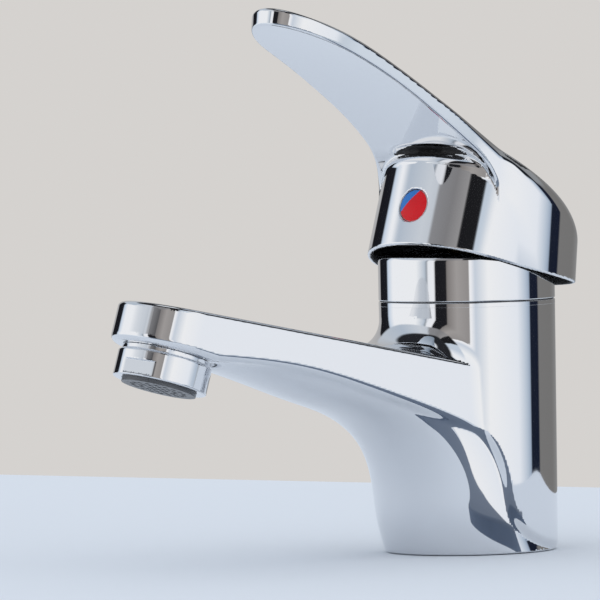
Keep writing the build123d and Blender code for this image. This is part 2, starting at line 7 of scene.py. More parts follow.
import bpy
import numpy as np
from bpy.props import FloatProperty, FloatVectorProperty, PointerProperty
from mathutils import Matrix, Vector


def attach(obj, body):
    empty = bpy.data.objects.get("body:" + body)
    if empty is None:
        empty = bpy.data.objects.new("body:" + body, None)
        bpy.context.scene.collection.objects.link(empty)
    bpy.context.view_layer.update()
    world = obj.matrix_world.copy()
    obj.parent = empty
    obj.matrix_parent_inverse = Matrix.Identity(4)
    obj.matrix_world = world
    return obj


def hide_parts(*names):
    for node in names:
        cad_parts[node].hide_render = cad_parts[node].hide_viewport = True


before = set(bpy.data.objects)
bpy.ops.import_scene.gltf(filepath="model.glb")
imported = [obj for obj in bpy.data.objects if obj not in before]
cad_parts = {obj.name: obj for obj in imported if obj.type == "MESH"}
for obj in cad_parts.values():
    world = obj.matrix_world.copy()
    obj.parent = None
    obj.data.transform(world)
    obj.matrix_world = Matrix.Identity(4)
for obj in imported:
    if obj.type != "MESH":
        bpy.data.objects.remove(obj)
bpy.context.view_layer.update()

bl_info = {
    "name": "Basin Mixer Tap",
    "version": (1, 0, 0),
    "blender": (4, 5, 0),
    "location": "View3D > Sidebar > Tap",
    "description": "Builds the dressed basin mixer tap round its solid parts",
    "category": "Add Mesh",
}

MM = 0.001


# ---- Properties --------------------------------------------------------------------------------
def length(name, description, millimetres):
    """A length property, given in millimetres and kept in metres."""
    return FloatProperty(
        name=name, description=description, default=millimetres * MM, precision=5, unit="LENGTH"
    )


def angle(name, description, degrees):
    """An angle property, given in degrees and kept in radians."""
    return FloatProperty(
        name=name, description=description, default=math.radians(degrees), subtype="ANGLE"
    )


def amount(name, description, value, low=0.0, high=1.0):
    """A plain number between two limits."""
    return FloatProperty(name=name, description=description, default=value, min=low, max=high)


def colour(name, description, value):
    """A colour property."""
    return FloatVectorProperty(
        name=name, description=description, default=value, size=3, subtype="COLOR", min=0.0, max=1.0
    )


class TapBodySizes(bpy.types.PropertyGroup):
    """Sizes of the cast body and its spout."""

    base_radius: length("Base radius", "Radius of the column on the deck", 25.0)
    top_radius: length("Top radius", "Radius of the column at the seam", 25.5)
    seam_height: length("Seam height", "Height of the seam under the trim ring", 72.6)
    seam_gap: length("Seam gap", "Gap between the body and the trim ring", 0.25)
    reach: length("Spout reach", "Distance from the column to the outlet", 105.0)
    tip_height: length("Outlet height", "Height of the face that the aerator screws into", 61.1)
    tip_radius: length("Tip radius", "Radius of the spout's rounded end", 16.5)
    root_radius: length("Root radius", "Half width of the spout at the column", 22.4)
    tip_tilt: angle("Tip tilt", "Tilt of the outlet's face to the deck", 17.5)
    tip_depth: length("Tip depth", "Depth of the spout at its tip", 12.9)
    top_slope: angle("Top slope", "Rise of the spout's top towards the tip", 11.3)
    crown_radius: length("Crown radius", "Radius of the top across the spout", 225.0)
    root_blend: length("Root blend", "Blend between the spout's top and the column", 9.0)
    ridge_round: length("Ridge rounding", "Rounding of the ridge over the keel", 2.0)
    ridge_blend: length("Ridge blend", "Blend under the ridge", 1.6)
    edge_round: length("Edge rounding", "Rounding of the spout's top edge", 1.1)
    pitch: length("Mesh pitch", "Spacing of the mesh", 0.6)


class TapHandleSizes(bpy.types.PropertyGroup):
    """Sizes of the lever handle, in its closed position."""

    turn: angle("Lever turn", "How far the lever is turned aside", 16.0)
    lift: angle("Lever lift", "How far the lever is lifted", 20.0)
    pivot_height: length("Pivot height", "Height of the lever's pivot", 80.0)
    rim_height: length("Rim height", "Height of the housing's rim", 79.1)
    rim_rise: amount("Rim rise", "Slope of the rim towards the back", 0.23)
    front_radius: length("Front radius", "Radius of the housing's front", 27.3)
    front_offset: length("Front offset", "Centre of the housing's front", 2.74)
    rear_radius: length("Rear radius", "Radius of the housing's back", 29.2)
    rear_offset: length("Rear offset", "Centre of the housing's back, behind the pivot", 4.8)
    lean: angle("Wall lean", "Forward lean of the back wall", 12.9)
    wall: length("Wall", "Thickness of the housing's wall", 1.5)
    roof_height: length("Roof height", "Height of the hollow's roof", 97.5)
    crest_radius: length("Crest radius", "Radius of the top along the lever", 640.0)
    crown_radius: length("Crown radius", "Radius of the top across the lever", 168.0)
    crest_reach: length("Crest reach", "Reach of the crest's reference point", 47.5)
    crest_height: length("Crest height", "Height of the crest's reference point", 117.25)
    crest_slope: angle("Crest slope", "Slope of the top at that point", 9.1)
    crest_round: length("Crest rounding", "Rounding of the upper edge", 1.0)
    rear_round: length("Rear rounding", "Extra rounding of the upper edge at the housing", 5.0)
    blade_round: length("Blade rounding", "Rounding of the blade's lower edge", 0.8)
    throat_blend: length("Throat blend", "Blend between housing and blade underneath", 0.9)
    flank_blend: length("Flank blend", "Blend between housing and blade at the sides", 0.8)
    draft: amount("Draft", "How much the blade's sides lean in towards its underside", 0.16)
    dish: length("Dish", "Hollow of the blade's underside", 0.9)
    slot_depth: length("Slot depth", "Extra hollow of the underside over the housing's front", 3.0)
    tip_drop: length("Tip drop", "How far the top falls off at the tip", 1.2)
    ledge_height: length("Ledge height", "Height where the housing's front rounds over", 106.8)
    ledge_round: length("Ledge rounding", "Rounding of the housing's front", 3.4)
    hub_bottom: length("Hub bottom", "Height of the hub's lower face", 90.0)
    hub_half_width: length("Hub half width", "Half the width of the square hub", 7.0)
    screw_height: length("Screw height", "Height of the grub screw and the index button", 90.9)
    button_radius: length("Button radius", "Radius of the index button", 4.85)
    button_dome: length("Button dome", "Rise of the button's face", 0.7)
    mark_turn: angle("Mark turn", "Direction of the cold part of the button", 140.0)
    mark_offset: length("Mark offset", "How far off centre the cold part starts", 1.9)
    pitch: length("Mesh pitch", "Spacing of the mesh", 0.5)


class TapTrimSizes(bpy.types.PropertyGroup):
    """Sizes of the trim ring and the aerator."""

    ring_top: length("Ring top", "Height of the trim ring's top", 86.5)
    dome_radius: length("Dome radius", "Radius of the trim ring's shoulder", 2.5)
    ring_opening: length("Ring opening", "Radius of the opening for the cartridge", 15.7)
    ring_wall: length("Ring wall", "Thickness of the trim ring", 1.8)
    aerator_radius: length("Aerator radius", "Radius of the aerator's housing", 13.5)
    aerator_length: length("Aerator length", "Length of the housing under the tip", 9.3)
    collar_radius: length("Collar radius", "Radius of the neck under the tip", 12.7)
    collar_length: length("Collar length", "Length of the neck under the tip", 1.6)
    aerator_bore: length("Aerator bore", "Radius of the housing's bore", 10.8)
    flat_depth: length("Flat depth", "Depth of the wrench flats", 1.0)
    flat_height: length("Flat height", "Height of the wrench flats", 4.0)
    flat_turn: angle("Flat turn", "Turn of the wrench flats", 23.0)
    pitch: length("Mesh pitch", "Spacing of the aerator's mesh", 0.34)


class TapFinishes(bpy.types.PropertyGroup):
    """Colours of the finishes."""

    chrome: colour("Chrome", "Colour of the chrome plate", (0.82, 0.83, 0.85))
    chrome_roughness: amount("Chrome roughness", "Roughness of the chrome plate", 0.035)
    brass: colour("Brass", "Colour of machined brass", (0.78, 0.60, 0.32))
    steel: colour("Steel", "Colour of zinc-plated steel", (0.62, 0.63, 0.65))
    white_plastic: colour("White plastic", "Colour of the cartridge's housing", (0.84, 0.84, 0.81))
    dark_plastic: colour("Dark plastic", "Colour of the rotor and carrier", (0.16, 0.17, 0.18))
    aerator_plastic: colour("Aerator plastic", "Colour of the aerator's insert", (0.10, 0.105, 0.115))
    ceramic: colour("Ceramic", "Colour of the ceramic discs", (0.90, 0.88, 0.84))
    rubber: colour("Rubber", "Colour of seals and washers", (0.03, 0.03, 0.033))
    # Near-black: the unplated inside, darkened further to paint the shade in the handle's hollow and in
    # the slot under the blade.
    hollow_painted_shade: colour("Hollow painted shade", "Colour of the handle's unplated inside", (0.018, 0.018, 0.02))
    hot: colour("Hot", "Colour of the button's hot half", (0.70, 0.006, 0.014))
    cold: colour("Cold", "Colour of the button's cold half", (0.03, 0.20, 0.62))
    rim: colour("Rim", "Colour of the button's rim", (0.55, 0.54, 0.54))


class TapStudio(bpy.types.PropertyGroup):
    """Camera, light and backdrop."""

    azimuth: angle("Azimuth", "Direction of the camera round the tap", 55.0)
    elevation: angle("Elevation", "Height of the camera over the horizon", 2.154)
    roll: angle("Roll", "Lean of the camera", -1.178)
    distance: length("Distance", "Distance of the camera from its target", 2312.0)
    target_x: length("Target X", "Point that the camera looks at, to the right", -27.6)
    target_y: length("Target Y", "Point that the camera looks at, to the back", -39.5)
    target_z: length("Target Z", "Point that the camera looks at, upwards", 73.2)
    lens: amount("Lens", "Focal length of the camera in millimetres", 480.0, 1.0, 5000.0)
    wall: colour("Wall", "Colour of the backdrop", (0.665, 0.645, 0.625))
    floor: colour("Floor", "Colour of the floor", (0.67, 0.73, 0.81))
    floor_glow: colour("Floor glow", "Colour below the horizon", (0.68, 0.75, 0.84))
    overhead: colour("Overhead", "Colour of the softbox overhead", (0.80, 0.83, 0.87))
    ceiling: colour("Ceiling", "Colour of the dark ceiling round that softbox", (0.02, 0.021, 0.025))
    # The card is seen only in the chrome, as a painted dark reflection beside the base.
    card: colour("Reflection card", "Colour of the dark card beside the base", (0.13, 0.17, 0.24))
    soft_light: colour("Soft light", "Colour of the soft light", (0.97, 0.98, 1.0))
    floor_turn: angle("Floor turn", "Turn of the floor about the tap", 20.0)
    floor_left: length("Floor left", "How far the floor runs to its left", 480.0)
    floor_right: length("Floor right", "How far the floor runs to its right", 300.0)
    floor_front: length("Floor front", "How far the floor runs to the front", 320.0)
    floor_back: length("Floor back", "How far the floor runs to the back", 262.0)
    card_turn: angle("Card turn", "Turn of the dark card from square to the camera", 26.6)
    card_left: length("Card left", "Left edge of the dark card from the tap's axis", 22.0)
    card_right: length("Card right", "Right edge of the dark card from the tap's axis", 40.0)
    card_front: length("Card front", "Edge of the dark card towards the camera", 230.0)
    card_back: length("Card back", "Edge of the dark card beside the tap", -45.0)
    floor_drop: length("Floor drop", "Gap under the base", 0.2)
    strength: amount("Light strength", "Brightness of the studio", 1.0, 0.0, 4.0)


# ---- Shaping with signed fields ----------------------------------------------------------------
def blend_union(first, second, radius):
    """Union of two signed fields with a concave blend."""
    inside = np.hypot(np.maximum(radius - first, 0), np.maximum(radius - second, 0))
    return np.maximum(radius, np.minimum(first, second)) - inside


def soft_union(first, second, width):
    """Union of two signed fields that meet at a shallow angle."""
    share = np.maximum(width - np.abs(first - second), 0) / width
    return np.minimum(first, second) - share * share * width / 4


def round_intersection(first, second, radius):
    """Intersection of two signed fields with a rounded edge."""
    outside = np.hypot(np.maximum(radius + first, 0), np.maximum(radius + second, 0))
    return np.minimum(-radius, np.maximum(first, second)) + outside


def cut_away(solid, tool, radius=0.2):
    """A signed field with another cut out of it, with a rounded edge."""
    return round_intersection(solid, -tool, radius)


def ease(value, low, high):
    """A smooth step from 0 at low to 1 at high."""
    share = np.clip((value - low) / (high - low), 0, 1)
    return share * share * (3 - 2 * share)


def rod(u, v, along, radius, low, high):
    """A signed field of a round rod along one coordinate."""
    return np.maximum(np.hypot(u, v) - radius, np.maximum(low - along, along - high))


def hull_of_circles(u, v, first_radius, second_radius, distance):
    """Signed distance to the hull of a circle at v = 0 and a second one at v = distance."""
    slope = np.clip((first_radius - second_radius) / np.maximum(distance, 1e-6), -1, 1)
    level = np.sqrt(1 - slope * slope)
    u = np.abs(u)
    along = level * v - slope * u
    side = level * u + slope * v - first_radius
    near = np.hypot(u, v) - first_radius
    far = np.hypot(u, v - distance) - second_radius
    return np.where(along < 0, near, np.where(along >= level * distance, far, side))


def smooth_line(points, count):
    """Points along a smooth line through the given ones, evenly shared by chord length."""
    points = np.array(points, float)
    knots = np.concatenate([[0], np.cumsum(np.linalg.norm(np.diff(points, axis=0), axis=1) ** 0.75)])
    at = np.linspace(0, knots[-1], count)
    return np.stack([natural_spline(knots, column, at) for column in points.T], axis=1)


def natural_spline(knots, values, at):
    """A natural cubic spline through values at knots."""
    knots, values = np.asarray(knots, float), np.asarray(values, float)
    gaps = np.diff(knots)
    size = len(knots)
    matrix, right = np.zeros((size, size)), np.zeros(size)
    matrix[0, 0] = matrix[-1, -1] = 1
    for i in range(1, size - 1):
        matrix[i, i - 1 : i + 2] = gaps[i - 1], 2 * (gaps[i - 1] + gaps[i]), gaps[i]
        right[i] = 6 * (
            (values[i + 1] - values[i]) / gaps[i] - (values[i] - values[i - 1]) / gaps[i - 1]
        )
    bend = np.linalg.solve(matrix, right)
    i = np.clip(np.searchsorted(knots, at) - 1, 0, size - 2)
    gap, past = gaps[i], at - knots[i]
    left = gap - past
    return (
        bend[i] * left**3 / (6 * gap)
        + bend[i + 1] * past**3 / (6 * gap)
        + (values[i] / gap - bend[i] * gap / 6) * left
        + (values[i + 1] / gap - bend[i + 1] * gap / 6) * past
    )


def distance_to_line(u, v, line):
    """Signed distance from points to a dense line, positive on its left."""
    tangent = np.gradient(line, axis=0)
    tangent /= np.linalg.norm(tangent, axis=1)[:, None]
    flat_u, flat_v = u.ravel(), v.ravel()
    out = np.empty(len(flat_u))
    for start in range(0, len(flat_u), 4000):
        part = slice(start, start + 4000)
        du = flat_u[part, None] - line[None, :, 0]
        dv = flat_v[part, None] - line[None, :, 1]
        nearest = np.argmin(du * du + dv * dv, axis=1)
        rows = np.arange(len(nearest))
        du, dv, way = du[rows, nearest], dv[rows, nearest], tangent[nearest]
        across, away = way[:, 0] * dv - way[:, 1] * du, np.hypot(du, dv)
        beside = (nearest > 0) & (nearest < len(line) - 1) & (away < 3)
        out[part] = np.where(beside, across, np.sign(across) * away)
    return out.reshape(u.shape)


class Chart:
    """A smooth function of two coordinates, kept on a grid and read with cubic interpolation."""

    def __init__(self, low, high, pitch, function):
        self.low, self.pitch = low, pitch
        counts = [int(math.ceil((b - a) / pitch)) + 1 for a, b in zip(low, high)]
        u, v = np.meshgrid(
            low[0] + pitch * np.arange(counts[0]),
            low[1] + pitch * np.arange(counts[1]),
            indexing="ij",
        )
        self.values = function(u, v)

    @staticmethod
    def weights(past):
        """Weights of the four neighbours at a share of the way between the middle two."""
        return (
            -0.5 * past + past**2 - 0.5 * past**3,
            1 - 2.5 * past**2 + 1.5 * past**3,
            0.5 * past + 2 * past**2 - 1.5 * past**3,
            -0.5 * past**2 + 0.5 * past**3,
        )

    def __call__(self, u, v):
        rows, columns = self.values.shape
        u = np.clip((u - self.low[0]) / self.pitch, 1, rows - 2.001)
        v = np.clip((v - self.low[1]) / self.pitch, 1, columns - 2.001)
        i, j = u.astype(int), v.astype(int)
        row_weights, column_weights = self.weights(u - i), self.weights(v - j)
        flat = self.values.ravel()
        total = 0
        for p in range(4):
            start = (i + p - 1) * columns + j - 1
            total = total + row_weights[p] * sum(
                column_weights[q] * flat[start + q] for q in range(4)
            )
        return total


def gradient(field, points, step=0.04):
    """Gradient of a field at points, by central differences."""
    out = np.empty_like(points)
    for axis in range(3):
        shift = np.zeros(3)
        shift[axis] = step
        out[:, axis] = (field(points + shift) - field(points - shift)) / (2 * step)
    return out


def pull(field, points, rounds):
    """Pulls points onto the zero surface of a field."""
    for _ in range(rounds):
        slope = gradient(field, points)
        size = np.maximum((slope * slope).sum(1), 0.05)
        move = slope * (field(points) / size)[:, None]
        reach = np.linalg.norm(move, axis=1)
        points = points - move * np.minimum(1, 0.5 / np.maximum(reach, 1e-9))[:, None]
    return points


class RollingFillet:
    """The fillet of a ball that rolls between two fields that mirror about one axis."""

    STEP = 0.4
    # Cosine between the two fields' slopes at which the fillet runs out
    SHALLOW = 0.97

    def __init__(self, first, second, radius, start, count, mirrored):
        self.radius, self.mirrored = radius, mirrored
        at = np.array([start], float)
        centres, to_first, to_second = [], [], []
        for _ in range(count):
            for _ in range(5):
                slopes = np.stack([gradient(first, at)[0], gradient(second, at)[0]])
                miss = [first(at)[0] - radius, second(at)[0] - radius]
                at = at - np.linalg.lstsq(slopes, miss, rcond=None)[0]
            turn = slopes[0] @ slopes[1] / np.linalg.norm(slopes[0]) / np.linalg.norm(slopes[1])
            if turn > self.SHALLOW:
                break
            centres.append(at[0])
            to_first.append(-slopes[0])
            to_second.append(-slopes[1])
            way = np.cross(slopes[1], slopes[0])
            way *= self.STEP / np.linalg.norm(way)
            if len(centres) == 1 and way[mirrored] < 0:
                way = -way
            elif len(centres) > 1 and way @ (centres[-1] - centres[-2]) < 0:
                way = -way
            at = at + way
        self.centres = np.array(centres)
        self.to_first, self.to_second = np.array(to_first), np.array(to_second)

    def join(self, points, first, second, where):
        """Both fields joined by the fillet, where it is wanted."""
        radius = self.radius
        joined = np.minimum(first, second)
        near = (first < radius + 1) & (second < radius + 1) & (joined > -radius) & where
        near = np.flatnonzero(near)
        for start in range(0, len(near), 5000):
            part = near[start : start + 5000]
            at = points[part].copy()
            at[:, self.mirrored] = np.abs(at[:, self.mirrored])
            gap = at[:, None, :] - self.centres[None]
            nearest = np.argmin((gap * gap).sum(2), axis=1)
            away = at - self.centres[nearest]
            one, other = self.to_first[nearest], self.to_second[nearest]
            way = np.cross(one, other)
            way /= np.linalg.norm(way, axis=1)[:, None]
            away -= way * (away * way).sum(1)[:, None]
            within = (np.cross(one, away) * way).sum(1) > 0
            within &= nearest < len(self.centres) - 1
            within &= (np.cross(away, other) * way).sum(1) > 0
            ball = radius - np.linalg.norm(away, axis=1)
            joined[part] = np.where(within, np.minimum(ball, joined[part]), joined[part])
        return joined


# Fine cells along a coarse cell, and the corners and edges of a cell
COARSE = 4
CORNERS = np.array([(i, j, k) for i in (0, 1) for j in (0, 1) for k in (0, 1)])
EDGES = [
    (a, b)
    for a in range(8)
    for b in range(a + 1, 8)
    if np.abs(CORNERS[a] - CORNERS[b]).sum() == 1
]
# Points worked out at a time
BATCH = 200000


def sample_grid(field, low, high, pitch):
    """Values of a field on a fine grid, worked out only near its surface."""
    cells = np.ceil((np.array(high) - low) / (pitch * COARSE)).astype(int)
    centres = np.stack(
        np.meshgrid(*[(np.arange(n) + 0.5) * pitch * COARSE for n in cells], indexing="ij"), axis=-1
    ).reshape(-1, 3) + low
    rough = field(centres).reshape(cells)
    near = np.abs(rough) < pitch * COARSE * 1.9
    fine = cells * COARSE
    values = np.full(fine + 1, 1.0)
    wanted = np.zeros(fine + 1, bool)
    inside = rough < 0
    for axis in range(3):
        near = np.repeat(near, COARSE, axis=axis)
        inside = np.repeat(inside, COARSE, axis=axis)
    values[:-1, :-1, :-1] = np.where(inside, -1.0, 1.0)
    for i, j, k in CORNERS:
        wanted[i : i + fine[0], j : j + fine[1], k : k + fine[2]] |= near
    where = np.argwhere(wanted)
    got = np.empty(len(where))
    for start in range(0, len(where), BATCH):
        part = slice(start, start + BATCH)
        got[part] = field(where[part] * pitch + low)
    values[wanted] = got
    return values


def find_crossings(values):
    """Cells that the surface passes through, and its mean place in each."""
    below = values < 0
    cells = np.array(values.shape) - 1
    count = np.zeros(cells, np.int8)
    for i, j, k in CORNERS:
        count += below[i : i + cells[0], j : j + cells[1], k : k + cells[2]]
    crossed = np.argwhere((count > 0) & (count < 8))
    corner_values = np.stack([values[tuple((crossed + c).T)] for c in CORNERS], axis=1)
    total, hits = np.zeros((len(crossed), 3)), np.zeros(len(crossed))
    for a, b in EDGES:
        first, second = corner_values[:, a], corner_values[:, b]
        cross = (first < 0) != (second < 0)
        share = np.where(cross, first / np.where(cross, first - second, 1), 0)
        total += cross[:, None] * (CORNERS[a] + share[:, None] * (CORNERS[b] - CORNERS[a]))
        hits += cross
    return crossed, crossed + total / hits[:, None]


def link_quads(values, crossed):
    """Quads that join neighbouring cells across each grid edge that the surface cuts."""
    below = values < 0
    number = np.full(np.array(values.shape) - 1, -1)
    number[tuple(crossed.T)] = np.arange(len(crossed))
    quads = []
    for axis in range(3):
        side, other = [a for a in range(3) if a != axis]
        head = [slice(1, -1)] * 3
        head[axis] = slice(0, -1)
        tail = [slice(1, -1)] * 3
        tail[axis] = slice(1, None)
        start, end = below[tuple(head)], below[tuple(tail)]
        at = np.argwhere(start != end)
        at[:, side] += 1
        at[:, other] += 1
        ring = []
        for step_side, step_other in ((1, 1), (0, 1), (0, 0), (1, 0)):
            cell = at.copy()
            cell[:, side] -= step_side
            cell[:, other] -= step_other
            ring.append(number[tuple(cell.T)])
        ring = np.stack(ring, axis=1)
        forward = start[start != end]
        flip = forward if axis != 1 else ~forward
        ring[~flip] = ring[~flip][:, ::-1]
        quads.append(ring)
    quads = np.concatenate(quads)
    return quads[(quads >= 0).all(1)]


def normals_of(field, points):
    """Unit normals of a field at points."""
    normal = gradient(field, points)
    return normal / np.maximum(np.linalg.norm(normal, axis=1), 1e-9)[:, None]


def surface_of(field, low, high, pitch):
    """Vertices, quads and normals of a field's zero surface, evenly spread."""
    low = np.array(low, float)
    values = sample_grid(field, low, high, pitch)
    crossed, at = find_crossings(values)
    quads = link_quads(values, crossed)
    edges = np.concatenate([quads[:, [i, (i + 1) % 4]] for i in range(4)])
    points = pull(field, at * pitch + low, 2)
    for _ in range(4):
        mean, near = np.zeros_like(points), np.zeros(len(points))
        for a, b in ((0, 1), (1, 0)):
            for axis in range(3):
                mean[:, axis] += np.bincount(edges[:, a], points[edges[:, b], axis], len(points))
            near += np.bincount(edges[:, a], minlength=len(points))
        mean /= np.maximum(near, 1)[:, None]
        normal = normals_of(field, points)
        shift = mean - points
        shift -= normal * (shift * normal).sum(1)[:, None]
        points = pull(field, points + 0.6 * shift, 1)
    points = pull(field, points, 1)
    return points, quads, normals_of(field, points)


def in_mm(sizes, *names):
    """Named lengths of a property group, in millimetres."""
    return [getattr(sizes, name) / MM for name in names]


class BodyShape:
    """The cast body as one signed field: column, spout, the ridge over its keel, and its bores."""

    # The ridge from under the tip to the back of the base: distance before the axis, and height
    RIDGE = (
        (99.0, 59.2), (72.0, 55.4), (46.7, 48.0), (22.0, 39.2), (10.5, 32.6),
        (5.4, 20.0), (2.6, 10.0), (-6.0, 3.4), (-24.0, 0.0),
    )
    # Stations of the keel: reach and height of its lowest line, lean in degrees, half width, half depth
    KEEL = (
        (25.0, 0.0, 0.0, 24.6, 24.6),
        (28.0, 9.0, 4.0, 24.0, 23.6),
        (29.8, 20.0, 12.0, 23.0, 22.0),
        (33.8, 30.0, 34.0, 20.6, 17.0),
        (42.0, 37.8, 58.0, 18.8, 10.5),
        (60.0, 45.0, 69.0, 17.3, 8.6),
        (76.5, 50.9, 70.5, 16.4, 7.6),
        (92.0, 56.2, 70.5, 15.2, 6.0),
    )
    # Limits and spacing of the side view's charts, and points along the ridge
    CHART_LOW = (-48.0, -8.0)
    CHART_HIGH = (150.0, 96.0)
    CHART_PITCH = 0.8
    SAMPLES = 1500
    # The cartridge's bore and its wider mouth: radius and floor
    CARTRIDGE_BORE, CARTRIDGE_MOUTH = (17.65, 44.0), (20.43, 64.8)
    # Radius, lowest and highest point of each inlet, of the passage over it and of the stud's hole
    INLET, PASSAGE, STUD = (4.5, -9.0, 12.0), (2.8, 0.0, 44.5), (4.02, -9.0, 15.0)
    INLET_PLACES, STUD_PLACE = ((-7.0, 5.0), (7.0, 5.0)), (0.0, -11.0)
    # The base seal's groove: middle radius, half width and depth
    GROOVE = (21.5, 1.5, 1.8)
    # The aerator's thread: radius, length into the tip and run past it
    SOCKET = (12.03, 8.0, 4.0)
    # Rounding of the column's two ends and of the keel's end
    FOOT_EDGE, SEAM_EDGE, KEEL_EDGE = 0.3, 0.6, 1.5
    # The spout's fillet is only wanted over this height
    ROOT_HEIGHT = 20.0

    def __init__(self, sizes):
        (
            self.base_radius, self.top_radius, self.seam, self.gap, self.reach, self.tip_height,
            self.tip_radius, self.root_radius, self.tip_depth, self.crown_radius, self.root_blend,
            self.ridge_round, self.ridge_blend, self.edge_round,
        ) = in_mm(
            sizes, "base_radius", "top_radius", "seam_height", "seam_gap", "reach", "tip_height",
            "tip_radius", "root_radius", "tip_depth", "crown_radius", "root_blend", "ridge_round",
            "ridge_blend", "edge_round",
        )
        self.tilt, self.slope = sizes.tip_tilt, sizes.top_slope
        ridge = smooth_line(self.RIDGE, self.SAMPLES)
        tip_run = self.CHART_HIGH[0] - ridge[0, 0]
        before = np.stack(
            [
                np.linspace(self.CHART_HIGH[0], ridge[0, 0], 300)[:-1],
                np.linspace(ridge[0, 1] + tip_run * math.tan(self.tilt), ridge[0, 1], 300)[:-1],
            ],
            axis=1,
        )
        after = np.linspace(ridge[-1, 0], self.CHART_LOW[0], 200)[1:]
        after = np.stack([after, np.zeros(len(after))], axis=1)
        line = np.concatenate([before, ridge, after])
        self.ridge = Chart(
            self.CHART_LOW, self.CHART_HIGH, self.CHART_PITCH,
            lambda u, v: distance_to_line(u, v, line),
        )
        stations = np.array(self.KEEL)
        knots = np.concatenate(
            [[0], np.cumsum(np.linalg.norm(np.diff(stations[:, :2], axis=0), axis=1))]
        )
        self.share = np.linspace(0, 1, 1200)
        self.keel = [
            natural_spline(knots / knots[-1], stations[:, i], self.share) for i in range(5)
        ]
        self.keel[2] = np.radians(self.keel[2])
        self.keel_share = Chart(
            self.CHART_LOW, self.CHART_HIGH, self.CHART_PITCH, self.find_share
        )
        start = (0.0, -self.top_radius - self.root_blend, self.tip_height + self.root_blend)
        self.root = RollingFillet(
            self.column_field, self.spout_field, self.root_blend, start, 260, 0
        )

    def keel_values(self, share):
        """Reach, height, lean, half width and half depth of the keel at a share of its length."""
        return [np.interp(share, self.share, values) for values in self.keel]

    def past_station(self, u, v, share):
        """How far a point of the side view lies beyond a station of the keel."""
        reach, height, lean, _, _ = self.keel_values(share)
        return (u - reach) * np.sin(lean) + (v - height) * np.cos(lean)

    def find_share(self, u, v):
        """Share of the keel's length whose station passes through a point of the side view."""
        low, high = np.zeros(u.shape), np.ones(u.shape)
        for _ in range(22):
            middle = (low + high) / 2
            beyond = self.past_station(u, v, middle) > 0
            low, high = np.where(beyond, middle, low), np.where(beyond, high, middle)
        return (low + high) / 2

    def keel_field(self, x, u, v):
        """The keel under the spout and down the front of the column."""
        share = np.clip(self.keel_share(u, v), 0, 1)
        reach, height, lean, half_width, half_depth = self.keel_values(share)
        deep = (v - height) * np.sin(lean) - (u - reach) * np.cos(lean) - half_depth
        unit = np.hypot(x / half_width, deep / half_depth)
        steep = np.maximum(np.hypot(x / half_width**2, deep / half_depth**2), 1e-6)
        side = unit * (unit - 1) / steep
        end = self.past_station(u, v, np.ones(1))
        return round_intersection(side, end, self.KEEL_EDGE)

    def column_field(self, points):
        """The column."""
        around = np.hypot(points[:, 0], points[:, 1])
        top = self.seam - self.gap
        side = around - self.base_radius
        side -= (self.top_radius - self.base_radius) * points[:, 2] / top
        return round_intersection(side, points[:, 2] - top, self.SEAM_EDGE)

    def along_tip(self, points):
        """Distance back from the tip, and height over its face, in the tip's own frame."""
        level, rise = math.cos(self.tilt), math.sin(self.tilt)
        back, high = self.reach + points[:, 1], points[:, 2] - self.tip_height
        return back * level - high * rise, high * level + back * rise

    def spout_field(self, points):
        """The spout above its keel: a tapering band under a crowned top."""
        back, _ = self.along_tip(points)
        side = hull_of_circles(points[:, 0], back, self.tip_radius, self.root_radius, self.reach)
        level, rise = math.cos(self.tilt), math.sin(self.tilt)
        crest = self.tip_height + self.tip_depth * (level + rise * math.tan(self.slope))
        high = (points[:, 2] - crest) * math.cos(self.slope)
        high += (self.reach + points[:, 1]) * math.sin(self.slope)
        crown = np.hypot(points[:, 0], high + self.crown_radius) - self.crown_radius
        return round_intersection(side, crown, self.edge_round)

    def bores(self, points):
        """Everything drilled and turned out of the casting."""
        x, y, z = points[:, 0], points[:, 1], points[:, 2]
        around = np.hypot(x, y)
        bores = rod(x - self.STUD_PLACE[0], y - self.STUD_PLACE[1], z, *self.STUD)
        for radius, floor in (self.CARTRIDGE_BORE, self.CARTRIDGE_MOUTH):
            bores = np.minimum(bores, np.maximum(around - radius, floor - z))
        for inlet_x, inlet_y in self.INLET_PLACES:
            for hole in (self.INLET, self.PASSAGE):
                bores = np.minimum(bores, rod(x - inlet_x, y - inlet_y, z, *hole))
        middle, half, depth = self.GROOVE
        groove = np.maximum(np.abs(around - middle) - half, z - depth)
        back, over = self.along_tip(points)
        radius, inward, outward = self.SOCKET
        socket = np.maximum(np.hypot(x, back) - radius, np.maximum(over - inward, -outward - over))
        return np.minimum(np.minimum(bores, groove), socket)

    def inside(self, points):
        """Where the surface is machined brass and not plated."""
        return self.bores(points) < 0.3

    def __call__(self, points):
        x, y, z = points[:, 0], points[:, 1], points[:, 2]
        u = -y
        column, spout = self.column_field(points), self.spout_field(points)
        skin = self.root.join(points, column, spout, z > self.ROOT_HEIGHT)
        ridge = self.ridge(u, z)
        skin = round_intersection(skin, ridge, self.ridge_round)
        solid = blend_union(skin, self.keel_field(x, u, z), self.ridge_blend)
        solid = round_intersection(solid, -z, self.FOOT_EDGE)
        return cut_away(solid, self.bores(points))


